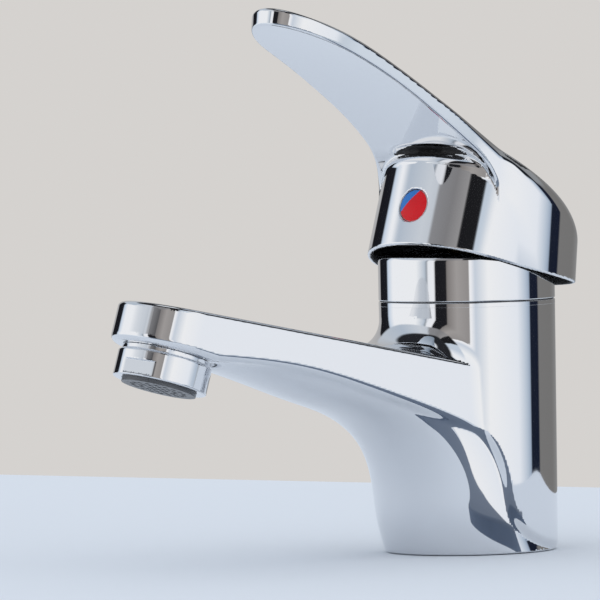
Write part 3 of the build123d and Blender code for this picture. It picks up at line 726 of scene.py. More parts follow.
class HandleShape:
    """The lever handle as one signed field, in the frame of the closed lever."""

    # Half width of the blade along its reach
    EDGE = (
        (-8.0, 27.7), (4.0, 27.1), (15.0, 24.3), (26.0, 21.3), (45.0, 18.5), (62.0, 17.6),
        (82.0, 16.4), (94.0, 14.9), (102.6, 11.5), (109.0, 5.9), (111.0, 0.0),
    )
    # The blade's underside in side view, from the housing's flank to the tip
    UNDERSIDE = (
        (19.0, 68.0), (19.0, 76.0), (19.0, 84.0), (19.1, 91.0), (19.6, 97.0), (21.2, 101.6),
        (25.0, 105.3), (30.3, 107.6), (45.7, 111.5), (62.2, 114.4), (81.7, 116.5),
        (100.0, 117.0), (118.0, 117.0),
    )
    # Radius, near end and far end along the reach: the screw's tube and bore, the button's boss
    TUBE, BORE, BOSS = (3.8, 4.0, 29.0), (2.52, 3.0, 60.0), (6.2, 26.04, 29.0)
    # The button's seat: play round the button, near end and far end
    SEAT = (0.05, 28.04, 60.0)
    # The stem's square socket in the hub: half width, floor and roof
    SOCKET = (4.15, 80.0, 104.0)
    # How far the housing's ledge rises behind its front, and the reach where that starts and ends
    LEDGE_RISE, LEDGE_RUN = 14.0, (13.5, 4.0)
    # How far the blade's plan draws in beside the housing, and the heights where that happens
    DRAW_IN, DRAW_RUN = 1.6, (103.0, 91.0)
    # Reach where the draft sets in, where the slot runs out, and where the tip falls off
    DRAFT_RUN, SLOT_RUN, TIP_RUN = (14.0, 34.0), (32.0, 22.0), (78.0, 112.0)
    # Half width of the dish, and how far it turns down beside that
    DISH_HALF, DISH_LOW = 18.0, -0.2
    # Where the wider rounding of the upper edge sets in: along the reach and to the side
    ROUND_RUN, ROUND_SIDE = (45.0, 5.0), (6.0, 22.0)
    # Rounding of the rim's bend, its edge, the hollow's roof and edge, and the seat's edge
    RIM_BEND, RIM_EDGE, ROOF_ROUND, HOLLOW_EDGE, SEAT_EDGE = 4.0, 0.45, 2.0, 0.4, 0.3

    def __init__(self, sizes):
        self.sizes = sizes
        (
            self.rim, self.front_radius, self.front, self.rear_radius, self.rear, self.wall,
            self.roof, self.crest_radius, self.crown_radius, self.crest_reach, self.crest_height,
            self.crest_round, self.blade_round, self.throat, self.hub, self.hub_half, self.screw,
            self.button, self.ledge, self.ledge_round, self.rear_round, self.flank, self.dish,
            self.slot, self.tip_drop,
        ) = in_mm(
            sizes, "rim_height", "front_radius", "front_offset", "rear_radius", "rear_offset",
            "wall", "roof_height", "crest_radius", "crown_radius", "crest_reach", "crest_height",
            "crest_round", "blade_round", "throat_blend", "hub_bottom", "hub_half_width",
            "screw_height", "button_radius", "ledge_height", "ledge_round",
            "rear_round", "flank_blend", "dish", "slot_depth", "tip_drop",
        )
        edge = list(self.EDGE) + [(reach, -half) for reach, half in self.EDGE[-2::-1]]
        plan = smooth_line(edge, 3000)
        self.plan = Chart(
            (-12.0, -4.0), (122.0, 40.0), 0.6, lambda u, v: distance_to_line(u, v, plan)
        )
        under = smooth_line(self.UNDERSIDE, 1500)
        self.under = Chart(
            (-40.0, 70.0), (122.0, 136.0), 0.8, lambda u, v: distance_to_line(u, v, under)
        )
        start = (self.front + 20.0, 0.0, self.ledge + self.throat)
        self.throat_fillet = RollingFillet(
            self.housing_field, self.blade_field, self.throat, start, 200, 1
        )

    def outline(self, reach, side, height, wall):
        """The egg-shaped housing, less a wall."""
        rear = (height - self.rim) * math.tan(self.sizes.lean) - self.rear
        return hull_of_circles(
            side, self.front - reach, self.front_radius - wall, self.rear_radius - wall,
            self.front - rear,
        )

    def inside(self, points):
        """Where the surface faces the hollow, left as cast, or lies in the slot over the housing's
        front; both get the near-black painted shade.
        """
        reach, side, height = points[:, 0], points[:, 1], points[:, 2]
        hollow = (self.outline(reach, side, height, self.wall) < 0.7) & (height < self.roof + 0.5)
        deep = -self.outline(reach, side, height, 0.0)
        # The slot between the blade's underside and the housing's front gets the painted shade too.
        slot = (deep > np.where(height > self.ledge + 0.3, 0.9, 2.3)) & (reach > 5.0)
        slot = slot & (np.abs(height - self.ledge) < 4.5) & (self.crown_field(points) < -1.2)
        return hollow | slot

    def housing_field(self, points):
        """The housing, with its front rounded over under the blade."""
        reach, side, height = points[:, 0], points[:, 1], points[:, 2]
        wall = self.outline(reach, side, height, 0.0)
        rise = ease(reach, self.front + self.LEDGE_RUN[0], self.front + self.LEDGE_RUN[1])
        ledge = self.ledge + self.LEDGE_RISE * rise
        return round_intersection(wall, height - ledge, self.ledge_round)

    def blade_field(self, points):
        """The blade below its crown, with a slightly dished underside."""
        reach, side, height = points[:, 0], points[:, 1], points[:, 2]
        plan = self.plan(reach, np.abs(side))
        plan = np.where(reach < -6.0, np.maximum(plan, -6.0 - reach), plan)
        top = self.crest_height + (reach - self.crest_reach) * math.tan(self.sizes.crest_slope)
        plan = plan + self.DRAW_IN * ease(height, *self.DRAW_RUN)
        plan = plan + self.sizes.draft * ease(reach, *self.DRAFT_RUN) * np.maximum(top - height, 0)
        flank = soft_union(plan, self.outline(reach, side, height, 0.0), self.flank)
        dish = self.dish + self.slot * ease(reach, *self.SLOT_RUN)
        dish = dish * np.maximum(1 - (side / self.DISH_HALF) ** 2, self.DISH_LOW)
        return round_intersection(flank, -self.under(reach, height - dish), self.blade_round)

    def crown_field(self, points):
        """The handle's domed upper side."""
        reach, side, height = points[:, 0], points[:, 1], points[:, 2]
        slope = self.sizes.crest_slope
        centre_reach = self.crest_reach + self.crest_radius * math.sin(slope)
        centre_height = self.crest_height - self.crest_radius * math.cos(slope)
        major = self.crest_radius - self.crown_radius
        dropped = height + self.tip_drop * ease(reach, *self.TIP_RUN)
        around = np.hypot(reach - centre_reach, dropped - centre_height) - major
        return np.hypot(around, side) - self.crown_radius

    def __call__(self, points):
        reach, side, height = points[:, 0], points[:, 1], points[:, 2]
        housing, blade = self.housing_field(points), self.blade_field(points)
        solid = self.throat_fillet.join(points, housing, blade, reach > 0)
        share = ease(reach, *self.ROUND_RUN) * (0.4 + 0.6 * ease(np.abs(side), *self.ROUND_SIDE))
        rounding = self.crest_round + self.rear_round * share
        solid = round_intersection(solid, self.crown_field(points), rounding)
        rise = self.sizes.rim_rise
        rear_rim = (self.rim - rise * reach - height) / math.sqrt(1 + rise * rise)
        rim = round_intersection(self.rim - height, rear_rim, self.RIM_BEND)
        solid = round_intersection(solid, rim, self.RIM_EDGE)
        hollow = self.outline(reach, side, height, self.wall)
        hollow = round_intersection(hollow, height - self.roof, self.ROOF_ROUND)
        solid = cut_away(solid, hollow, self.HOLLOW_EDGE)
        hub = np.maximum(np.maximum(np.abs(reach), np.abs(side)) - self.hub_half, self.hub - height)
        hub = np.maximum(hub, height - self.roof - 2.0)
        over = height - self.screw
        tube, boss = rod(side, over, reach, *self.TUBE), rod(side, over, reach, *self.BOSS)
        solid = np.minimum(solid, np.minimum(hub, np.minimum(tube, boss)))
        half, floor, roof = self.SOCKET
        socket = np.maximum(np.abs(reach), np.abs(side)) - half
        socket = np.maximum(socket, np.maximum(height - roof, floor - height))
        play, near, far = self.SEAT
        seat = rod(side, over, reach, self.button + play, near, far)
        holes = np.minimum(socket, rod(side, over, reach, *self.BORE))
        return cut_away(cut_away(solid, holes), seat, self.SEAT_EDGE)


class AeratorShape:
    """The aerator's housing as a signed field, in the frame of the spout's tip."""

    def __init__(self, sizes):
        (
            self.radius, self.length, self.collar, self.collar_length, self.bore,
            self.flat_depth, self.flat_height,
        ) = in_mm(
            sizes, "aerator_radius", "aerator_length", "collar_radius", "collar_length",
            "aerator_bore", "flat_depth", "flat_height",
        )
        self.turn = sizes.flat_turn

    def __call__(self, points):
        x, y, z = points[:, 0], points[:, 1], points[:, 2]
        around = np.hypot(x, y)
        wall = round_intersection(around - self.radius, z + self.collar_length, 0.4)
        wall = round_intersection(wall, -self.length - z, 0.4)
        neck = np.maximum(around - self.collar, np.abs(z + 1.0) - 1.0)
        thread = np.maximum(around - 12.0, np.abs(z - 2.5) - 3.5)
        solid = np.minimum(blend_union(wall, neck, 0.3), thread)
        across = np.abs(x * math.sin(self.turn) - y * math.cos(self.turn))
        floor = -self.length + 0.6
        flats = np.maximum(
            self.radius - self.flat_depth - across,
            np.maximum(floor - z, z - floor - self.flat_height),
        )
        solid = cut_away(solid, flats, 0.22)
        return cut_away(solid, around - self.bore, 0.3)


# ---- Meshes ------------------------------------------------------------------------------------
def new_object(name, points, faces, normals, material):
    """A smooth mesh object with its own normals, from points in metres."""
    mesh = bpy.data.meshes.new(name)
    mesh.from_pydata(points.tolist(), [], [list(map(int, face)) for face in faces])
    mesh.update()
    mesh.polygons.foreach_set("use_smooth", np.ones(len(mesh.polygons), bool))
    mesh.normals_split_custom_set_from_vertices(normals.tolist())
    mesh.materials.append(material)
    piece = bpy.data.objects.new(name, mesh)
    bpy.context.scene.collection.objects.link(piece)
    return piece


def place(points, normals, origin, axes):
    """Moves points and normals from a frame with the given origin and axes into the tap's frame."""
    axes = np.array(axes, float)
    return points @ axes + np.array(origin, float), normals @ axes


def rounded_profile(corners):
    """A closed profile of (radius, height, rounding) corners as points with exact normals."""
    points, normals = [], []
    for i, (radius, height, rounding) in enumerate(corners):
        here = np.array([radius, height], float)
        before = np.array(corners[i - 1][:2], float)
        after = np.array(corners[(i + 1) % len(corners)][:2], float)
        arrive = (here - before) / np.linalg.norm(here - before)
        leave = (after - here) / np.linalg.norm(after - here)
        turn = math.acos(np.clip(arrive @ leave, -1, 1))
        bend = np.sign(arrive[0] * leave[1] - arrive[1] * leave[0])
        centre = here - arrive * rounding * math.tan(turn / 2)
        centre = centre + np.array([-arrive[1], arrive[0]]) * bend * rounding
        steps = max(3, int(math.degrees(turn) / 6))
        for share in np.linspace(0, turn, steps + 1) * bend:
            way = np.array(
                [
                    arrive[0] * math.cos(share) - arrive[1] * math.sin(share),
                    arrive[0] * math.sin(share) + arrive[1] * math.cos(share),
                ]
            )
            outward = np.array([way[1], -way[0]])
            points.append(centre + outward * bend * rounding)
            normals.append(outward)
    return np.array(points), np.array(normals)


def turned(profile, normals, steps=192, closed=True):
    """Points, quads and normals of a profile turned about its own axis."""
    turn = np.arange(steps) * 2 * math.pi / steps
    cosine, sine = np.cos(turn)[:, None], np.sin(turn)[:, None]
    count = len(profile)
    points = np.stack(
        [cosine * profile[:, 0], sine * profile[:, 0], np.ones_like(sine) * profile[:, 1]], axis=-1
    ).reshape(-1, 3)
    facing = np.stack(
        [cosine * normals[:, 0], sine * normals[:, 0], np.ones_like(sine) * normals[:, 1]], axis=-1
    ).reshape(-1, 3)
    i, j = np.meshgrid(np.arange(steps), np.arange(count if closed else count - 1), indexing="ij")
    i, j = i.ravel(), j.ravel()
    next_i, next_j = (i + 1) % steps, (j + 1) % count
    quads = np.stack(
        [i * count + j, next_i * count + j, next_i * count + next_j, i * count + next_j], axis=1
    )
    return points, quads, facing


def capped(profile, normals, steps):
    """A turned profile that starts and ends on its axis: points, faces, normals, each face's band."""
    inner, facing = profile[1:-1], normals[1:-1]
    points, _, turned_normals = turned(inner, facing, steps, closed=False)
    count = len(inner)
    top, bottom = steps * count, steps * count + 1
    points = np.concatenate([points, [(0, 0, profile[0, 1]), (0, 0, profile[-1, 1])]])
    turned_normals = np.concatenate([turned_normals, [(0, 0, 1), (0, 0, -1)]])
    faces, bands = [], []
    for i in range(steps):
        start, after = i * count, (i + 1) % steps * count
        faces.append((top, start, after))
        bands.append(0)
        for j in range(count - 1):
            faces.append((start + j, start + j + 1, after + j + 1, after + j))
            bands.append(j + 1)
        faces.append((start + count - 1, bottom, after + count - 1))
        bands.append(count)
    return points, faces, turned_normals, bands


def flat_slab(name, along, limits, top, form, material):
    """A slab with round corners: limits are how far it runs to its left, right, front and back.

    Its form is the corners' radius, its thickness and the rounding of its upper edge.
    """
    left, right, front, back = limits
    corner, thick, edge = form
    corners = [
        (right - corner, back - corner, 0), (corner - left, back - corner, 90),
        (corner - left, corner - front, 180), (right - corner, corner - front, 270),
    ]
    turns = [
        (u, v, math.radians(start + 90 * step / 24)) for u, v, start in corners for step in range(25)
    ]
    middle = np.array([[u, v] for u, v, _ in turns])
    outward = np.array([[math.cos(turn), math.sin(turn)] for _, _, turn in turns])
    bends = [math.radians(90 * step / 10) for step in range(11)]
    rings = [(corner * 0.5, top, 0.0)]
    rings += [(corner - edge * (1 - math.sin(b)), top - edge * (1 - math.cos(b)), b) for b in bends]
    rings += [(corner, top - thick, math.pi / 2)]
    points, normals = [], []
    for radius, height, bend in rings:
        flat = middle + outward * radius
        points.append(np.column_stack([flat, np.full(len(flat), height)]))
        sideways = outward * math.sin(bend)
        normals.append(np.column_stack([sideways, np.full(len(flat), math.cos(bend))]))
    count, last = len(middle), len(rings) - 1
    faces = [list(range(count)), list(range(count * (last + 1) - 1, count * last - 1, -1))]
    for ring in range(last):
        for i in range(count):
            after = (i + 1) % count
            low, high = ring * count, (ring + 1) * count
            faces.append([low + after, low + i, high + i, high + after])
    axes = (tuple(along), (-along.y, along.x, 0), (0, 0, 1))
    points, normals = place(np.concatenate(points), np.concatenate(normals), (0, 0, 0), axes)
    return new_object(name, points * MM, faces, normals, material)


# ---- Materials ---------------------------------------------------------------------------------
class Finish:
    """A procedural material: a main shader and the nodes that feed it."""

    def __init__(self, name, base, metallic=0.0, roughness=0.4):
        self.material = bpy.data.materials.new(name)
        self.material.use_nodes = True
        self.material.diffuse_color = (*base, 1.0)
        self.nodes = self.material.node_tree.nodes
        self.links = self.material.node_tree.links
        self.shader = next(n for n in self.nodes if n.type == "BSDF_PRINCIPLED")
        self.shader.inputs["Base Color"].default_value = (*base, 1.0)
        self.shader.inputs["Metallic"].default_value = metallic
        self.shader.inputs["Roughness"].default_value = roughness
        self.place = self.nodes.new("ShaderNodeTexCoord").outputs["Object"]

    def noise(self, scale, detail=3.0, stretch=None):
        """Noise over the object, stretched along some axes if asked."""
        node = self.nodes.new("ShaderNodeTexNoise")
        node.inputs["Scale"].default_value = scale
        node.inputs["Detail"].default_value = detail
        place = self.place
        if stretch:
            mapping = self.nodes.new("ShaderNodeMapping")
            mapping.inputs["Scale"].default_value = stretch
            self.links.new(place, mapping.inputs["Vector"])
            place = mapping.outputs["Vector"]
        self.links.new(place, node.inputs["Vector"])
        return node.outputs["Fac"]

    def spread(self, value, low, high):
        """A noise value spread between two limits."""
        node = self.nodes.new("ShaderNodeMapRange")
        node.inputs["From Min"].default_value = 0.3
        node.inputs["From Max"].default_value = 0.7
        node.inputs["To Min"].default_value = low
        node.inputs["To Max"].default_value = high
        self.links.new(value, node.inputs["Value"])
        return node.outputs["Result"]

    def vary_roughness(self, value, low, high):
        """Roughness that follows a noise value."""
        self.links.new(self.spread(value, low, high), self.shader.inputs["Roughness"])

    def vary_colour(self, value, first, second):
        """Base colour that follows a noise value."""
        node = self.nodes.new("ShaderNodeValToRGB")
        node.color_ramp.elements[0].position = 0.3
        node.color_ramp.elements[0].color = (*first, 1.0)
        node.color_ramp.elements[1].position = 0.7
        node.color_ramp.elements[1].color = (*second, 1.0)
        self.links.new(value, node.inputs["Fac"])
        self.links.new(node.outputs["Color"], self.shader.inputs["Base Color"])

    def bump(self, value, strength, distance):
        """Fine relief that follows a noise value."""
        node = self.nodes.new("ShaderNodeBump")
        node.inputs["Strength"].default_value = strength
        node.inputs["Distance"].default_value = distance
        self.links.new(value, node.inputs["Height"])
        self.links.new(node.outputs["Normal"], self.shader.inputs["Normal"])


def shade(base, share):
    """A colour made darker or lighter."""
    return tuple(min(1.0, value * share) for value in base)


def make_chrome(name, finishes):
    """Bright chrome plate with faint wipe marks."""
    finish = Finish(name, finishes.chrome, 1.0, finishes.chrome_roughness)
    rough = finishes.chrome_roughness
    finish.vary_roughness(finish.noise(55.0, 4.0), rough * 0.75, rough * 1.35)
    return finish.material


def make_brass(name, finishes):
    """Machined brass with turning marks along its axis."""
    finish = Finish(name, finishes.brass, 1.0, 0.28)
    marks = finish.noise(60.0, 2.0, (1.0, 1.0, 60.0))
    finish.vary_roughness(marks, 0.2, 0.36)
    finish.vary_colour(finish.noise(90.0, 3.0), shade(finishes.brass, 0.9), finishes.brass)
    finish.bump(marks, 0.12, 0.0001)
    return finish.material


def make_steel(name, finishes):
    """Zinc-plated steel with a mottled passivated surface."""
    finish = Finish(name, finishes.steel, 1.0, 0.34)
    mottle = finish.noise(140.0, 5.0)
    finish.vary_roughness(mottle, 0.26, 0.44)
    finish.vary_colour(mottle, shade(finishes.steel, 0.88), shade(finishes.steel, 1.05))
    finish.bump(finish.noise(600.0, 2.0), 0.08, 0.0001)
    return finish.material


def make_plastic(name, base, roughness):
    """Moulded plastic with a fine eroded texture."""
    finish = Finish(name, base, 0.0, roughness)
    grain = finish.noise(900.0, 2.0)
    finish.vary_roughness(grain, roughness * 0.85, roughness * 1.15)
    finish.vary_colour(finish.noise(45.0, 3.0), shade(base, 0.95), base)
    finish.bump(grain, 0.1, 0.0001)
    return finish.material


def make_ceramic(name, finishes):
    """Lapped alumina with faint specks."""
    finish = Finish(name, finishes.ceramic, 0.0, 0.16)
    specks = finish.noise(700.0, 4.0)
    finish.vary_colour(specks, shade(finishes.ceramic, 0.96), finishes.ceramic)
    finish.vary_roughness(specks, 0.12, 0.2)
    return finish.material


def make_rubber(name, finishes):
    """Moulded rubber, slightly bloomed."""
    finish = Finish(name, finishes.rubber, 0.0, 0.6)
    bloom = finish.noise(160.0, 5.0)
    finish.vary_colour(bloom, finishes.rubber, shade(finishes.rubber, 1.7))
    finish.vary_roughness(bloom, 0.5, 0.72)
    finish.bump(finish.noise(800.0, 2.0), 0.15, 0.0001)
    return finish.material


def make_enamel(name, base):
    """Glossy filled enamel of the index button."""
    finish = Finish(name, base, 0.0, 0.3)
    finish.shader.inputs["Specular IOR Level"].default_value = 0.25
    finish.vary_colour(finish.noise(300.0, 3.0), shade(base, 0.93), base)
    return finish.material


def dress(nodes, material):
    """Gives CAD nodes a material."""
    for name in nodes:
        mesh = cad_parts[name].data
        mesh.materials.clear()
        mesh.materials.append(material)


# ---- Operators ---------------------------------------------------------------------------------
def build_field_piece(name, field, low, high, pitch, origin, axes, material, inner=None):
    """Meshes a field and places it; sizes in millimetres. The inner material goes on its inside."""
    points, quads, normals = surface_of(field, low, high, pitch)
    if not len(quads):
        raise RuntimeError(f"{name} came out empty")
    placed, normals = place(points, normals, origin, axes)
    piece = new_object(name, placed * MM, quads, normals, material)
    if inner:
        piece.data.materials.append(inner)
        inside = field.inside(points[quads].mean(axis=1)).astype(np.int32)
        piece.data.polygons.foreach_set("material_index", inside)
    return piece


def build_turned(name, corners, steps, material):
    """A ring turned from a profile of (radius, height, rounding) corners in millimetres."""
    points, quads, normals = turned(*rounded_profile(corners), steps)
    return new_object(name, points * MM, quads, normals, material)


def stand_for(piece, node, body):
    """Lets a piece stand for its CAD node."""
    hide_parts(node)
    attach(piece, body)


def lever_frame(sizes):
    """Origin and axes of the lever's own frame: along the lever, to its left, and up."""
    aside = math.sin(sizes.turn), math.cos(sizes.turn)
    level = np.array([aside[0], -aside[1], 0.0])
    left = np.array([aside[1], aside[0], 0.0])
    up = np.array([0.0, 0.0, 1.0])
    along = level * math.cos(sizes.lift) + up * math.sin(sizes.lift)
    rise = up * math.cos(sizes.lift) - level * math.sin(sizes.lift)
    pivot = sizes.pivot_height / MM
    return up * pivot - rise * pivot, (along, left, rise)


class TAP_OT_body(bpy.types.Operator):
    """Builds the chrome body with its spout"""

    bl_idname = "tap.body"
    bl_label = "Body"

    def execute(self, context):
        sizes, finishes = context.scene.tap_body, context.scene.tap_finishes
        shape = BodyShape(sizes)
        reach = shape.reach + shape.tip_radius
        piece = build_field_piece(
            "body_casting", shape, (-29.0, -reach - 3.0, -1.8), (29.0, 29.0, 78.0),
            sizes.pitch / MM, (0, 0, 0), np.eye(3), make_chrome("Body chrome", finishes),
            make_brass("Bored brass", finishes),
        )
        stand_for(piece, "faucet_body", "tap_body")
        outer, top, low = shape.top_radius + 0.01, shape.seam - shape.gap, shape.seam - 1.6
        inner = outer - 1.2
        lip = build_turned(
            "body_lip", [(outer, low, 0.05), (outer, top, 0.3), (inner, top, 0.1), (inner, low, 0.1)],
            320, make_chrome("Lip chrome", finishes),
        )
        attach(lip, "tap_body")
        return {"FINISHED"}


class TAP_OT_handle(bpy.types.Operator):
    """Builds the lever handle"""

    bl_idname = "tap.handle"
    bl_label = "Lever handle"

    def execute(self, context):
        sizes, finishes = context.scene.tap_handle, context.scene.tap_finishes
        origin, axes = lever_frame(sizes)
        # The hollow and the slot under the blade get the near-black painted shade as their inner
        # material.
        piece = build_field_piece(
            "lever_handle", HandleShape(sizes), (-36.0, -32.0, 77.0), (114.0, 32.0, 125.0),
            sizes.pitch / MM, origin, axes, make_chrome("Handle chrome", finishes),
            make_plastic("Hollow painted shade", finishes.hollow_painted_shade, 0.7),
        )
        stand_for(piece, "handle", "lever")
        return {"FINISHED"}


class TAP_OT_trim_ring(bpy.types.Operator):
    """Builds the trim ring between body and lever, and the seam's gasket"""

    bl_idname = "tap.trim_ring"
    bl_label = "Trim ring"

    def execute(self, context):
        sizes, finishes = context.scene.tap_trim, context.scene.tap_finishes
        outer, seam = in_mm(context.scene.tap_body, "top_radius", "seam_height")
        top, dome, opening, wall = in_mm(sizes, "ring_top", "dome_radius", "ring_opening", "ring_wall")
        inner = outer - wall
        corners = [
            (outer, seam, 0.3), (outer, top, dome), (opening, top, 0.5), (opening, top - wall, 0.3),
            (inner, top - wall, dome - wall), (inner, seam + wall, 0.3), (inner - 3.0, seam + wall, 0.3),
            (inner - 3.0, seam, 0.3),
        ]
        piece = build_turned("trim_ring_shell", corners, 320, make_chrome("Ring chrome", finishes))
        stand_for(piece, "trim_ring", "tap_body")
        low, high, edge, back = seam - 0.6, seam + 0.4, outer - 0.4, outer - 1.1
        gasket = build_turned(
            "seam_gasket", [(edge, low, 0.1), (edge, high, 0.1), (back, high, 0.1), (back, low, 0.1)],
            192, make_rubber("Seam rubber", finishes),
        )
        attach(gasket, "tap_body")
        return {"FINISHED"}


class TAP_OT_index(bpy.types.Operator):
    """Builds the hot and cold index button"""

    bl_idname = "tap.index"
    bl_label = "Index button"
    # Steps round the button, rings over its face, its edge's rounding, depth and stand off the housing
    STEPS, RINGS = 192, 20
    EDGE, DEPTH, PROUD = 0.25, 1.6, 0.1

    def execute(self, context):
        sizes, finishes = context.scene.tap_handle, context.scene.tap_finishes
        front, front_radius, radius, dome = in_mm(
            sizes, "front_offset", "front_radius", "button_radius", "button_dome"
        )
        face = front + front_radius + self.PROUD
        ball = (radius * radius + dome * dome) / (2 * dome)
        turn = np.linspace(0, math.asin((radius - self.EDGE) / ball), self.RINGS)
        way = np.stack([np.sin(turn), np.cos(turn)], axis=1)
        profile = way * ball + (0, face - ball)
        edge = np.linspace(turn[-1], math.pi / 2, 8)[1:]
        edge = np.stack([np.sin(edge), np.cos(edge)], axis=1)
        profile = np.concatenate([profile, profile[-1] + self.EDGE * (edge - way[-1])])
        foot = profile[-1, 0], face - dome - self.DEPTH
        profile = np.concatenate([profile, [foot, (0, foot[1])]])
        normals = np.concatenate([way, edge, [(1, 0), (0, -1)]])
        points, faces, facing, bands = capped(profile, normals, self.STEPS)
        origin, axes = lever_frame(sizes)
        centre = np.array(origin) + axes[2] * (sizes.screw_height / MM)
        points, facing = place(points, facing, centre, (axes[1], axes[2], axes[0]))
        hot = make_enamel("Index hot", finishes.hot)
        piece = new_object("index_mark", points * MM, faces, facing, hot)
        piece.data.materials.append(make_enamel("Index cold", finishes.cold))
        piece.data.materials.append(make_enamel("Index rim", finishes.rim))
        across = axes[1] * math.cos(sizes.mark_turn) + axes[2] * math.sin(sizes.mark_turn)
        offset = sizes.mark_offset / MM
        for polygon, band in zip(piece.data.polygons, bands):
            aside = (np.array(polygon.center) / MM - centre) @ across
            polygon.material_index = 2 if band > self.RINGS else int(aside > offset)
        stand_for(piece, "index_button", "lever")
        return {"FINISHED"}


class TAP_OT_aerator(bpy.types.Operator):
    """Builds the aerator's housing and dresses its insert, screen and washer"""

    bl_idname = "tap.aerator"
    bl_label = "Aerator"

    def execute(self, context):
        sizes, finishes = context.scene.tap_trim, context.scene.tap_finishes
        body = context.scene.tap_body
        level, rise = math.cos(body.tip_tilt), math.sin(body.tip_tilt)
        axes = ((1, 0, 0), (0, level, -rise), (0, rise, level))
        origin = (0, -body.reach / MM, body.tip_height / MM)
        piece = build_field_piece(
            "aerator_shell", AeratorShape(sizes), (-15.0, -15.0, -10.5), (15.0, 15.0, 7.5),
            sizes.pitch / MM, origin, axes, make_chrome("Aerator chrome", finishes),
        )
        stand_for(piece, "aerator_housing", "tap_body")
        dress(
            ("aerator_insert", "aerator_screen"),
            make_plastic("Aerator plastic", finishes.aerator_plastic, 0.35),
        )
        dress(("aerator_washer",), make_rubber("Washer rubber", finishes))
        return {"FINISHED"}


class TAP_OT_cartridge(bpy.types.Operator):
    """Dresses the cartridge, its nut and its discs"""

    bl_idname = "tap.cartridge"
    bl_label = "Cartridge"

    def execute(self, context):
        finishes = context.scene.tap_finishes
        dress(("cartridge_nut", "lever_stem"), make_brass("Machined brass", finishes))
        dress(
            ("cartridge_housing", "cartridge_base"),
            make_plastic("Cartridge plastic", finishes.white_plastic, 0.42),
        )
        dress(
            ("cartridge_rotor", "disc_carrier"),
            make_plastic("Rotor plastic", finishes.dark_plastic, 0.4),
        )
        dress(("fixed_ceramic_disc", "moving_ceramic_disc"), make_ceramic("Alumina", finishes))
        dress(("base_port_seals",), make_rubber("Seal rubber", finishes))
        dress(("stem_pin", "handle_grub_screw"), make_steel("Pin steel", finishes))
        return {"FINISHED"}


class TAP_OT_fixings(bpy.types.Operator):
    """Dresses the seal, stud, horseshoe washers and nut under the deck"""

    bl_idname = "tap.fixings"
    bl_label = "Fixings"

    def execute(self, context):
        finishes = context.scene.tap_finishes
        dress(("base_seal", "rubber_horseshoe"), make_rubber("Gasket rubber", finishes))
        dress(("mounting_stud", "steel_horseshoe"), make_steel("Zinc steel", finishes))
        dress(("fixing_nut",), make_brass("Nut brass", finishes))
        return {"FINISHED"}


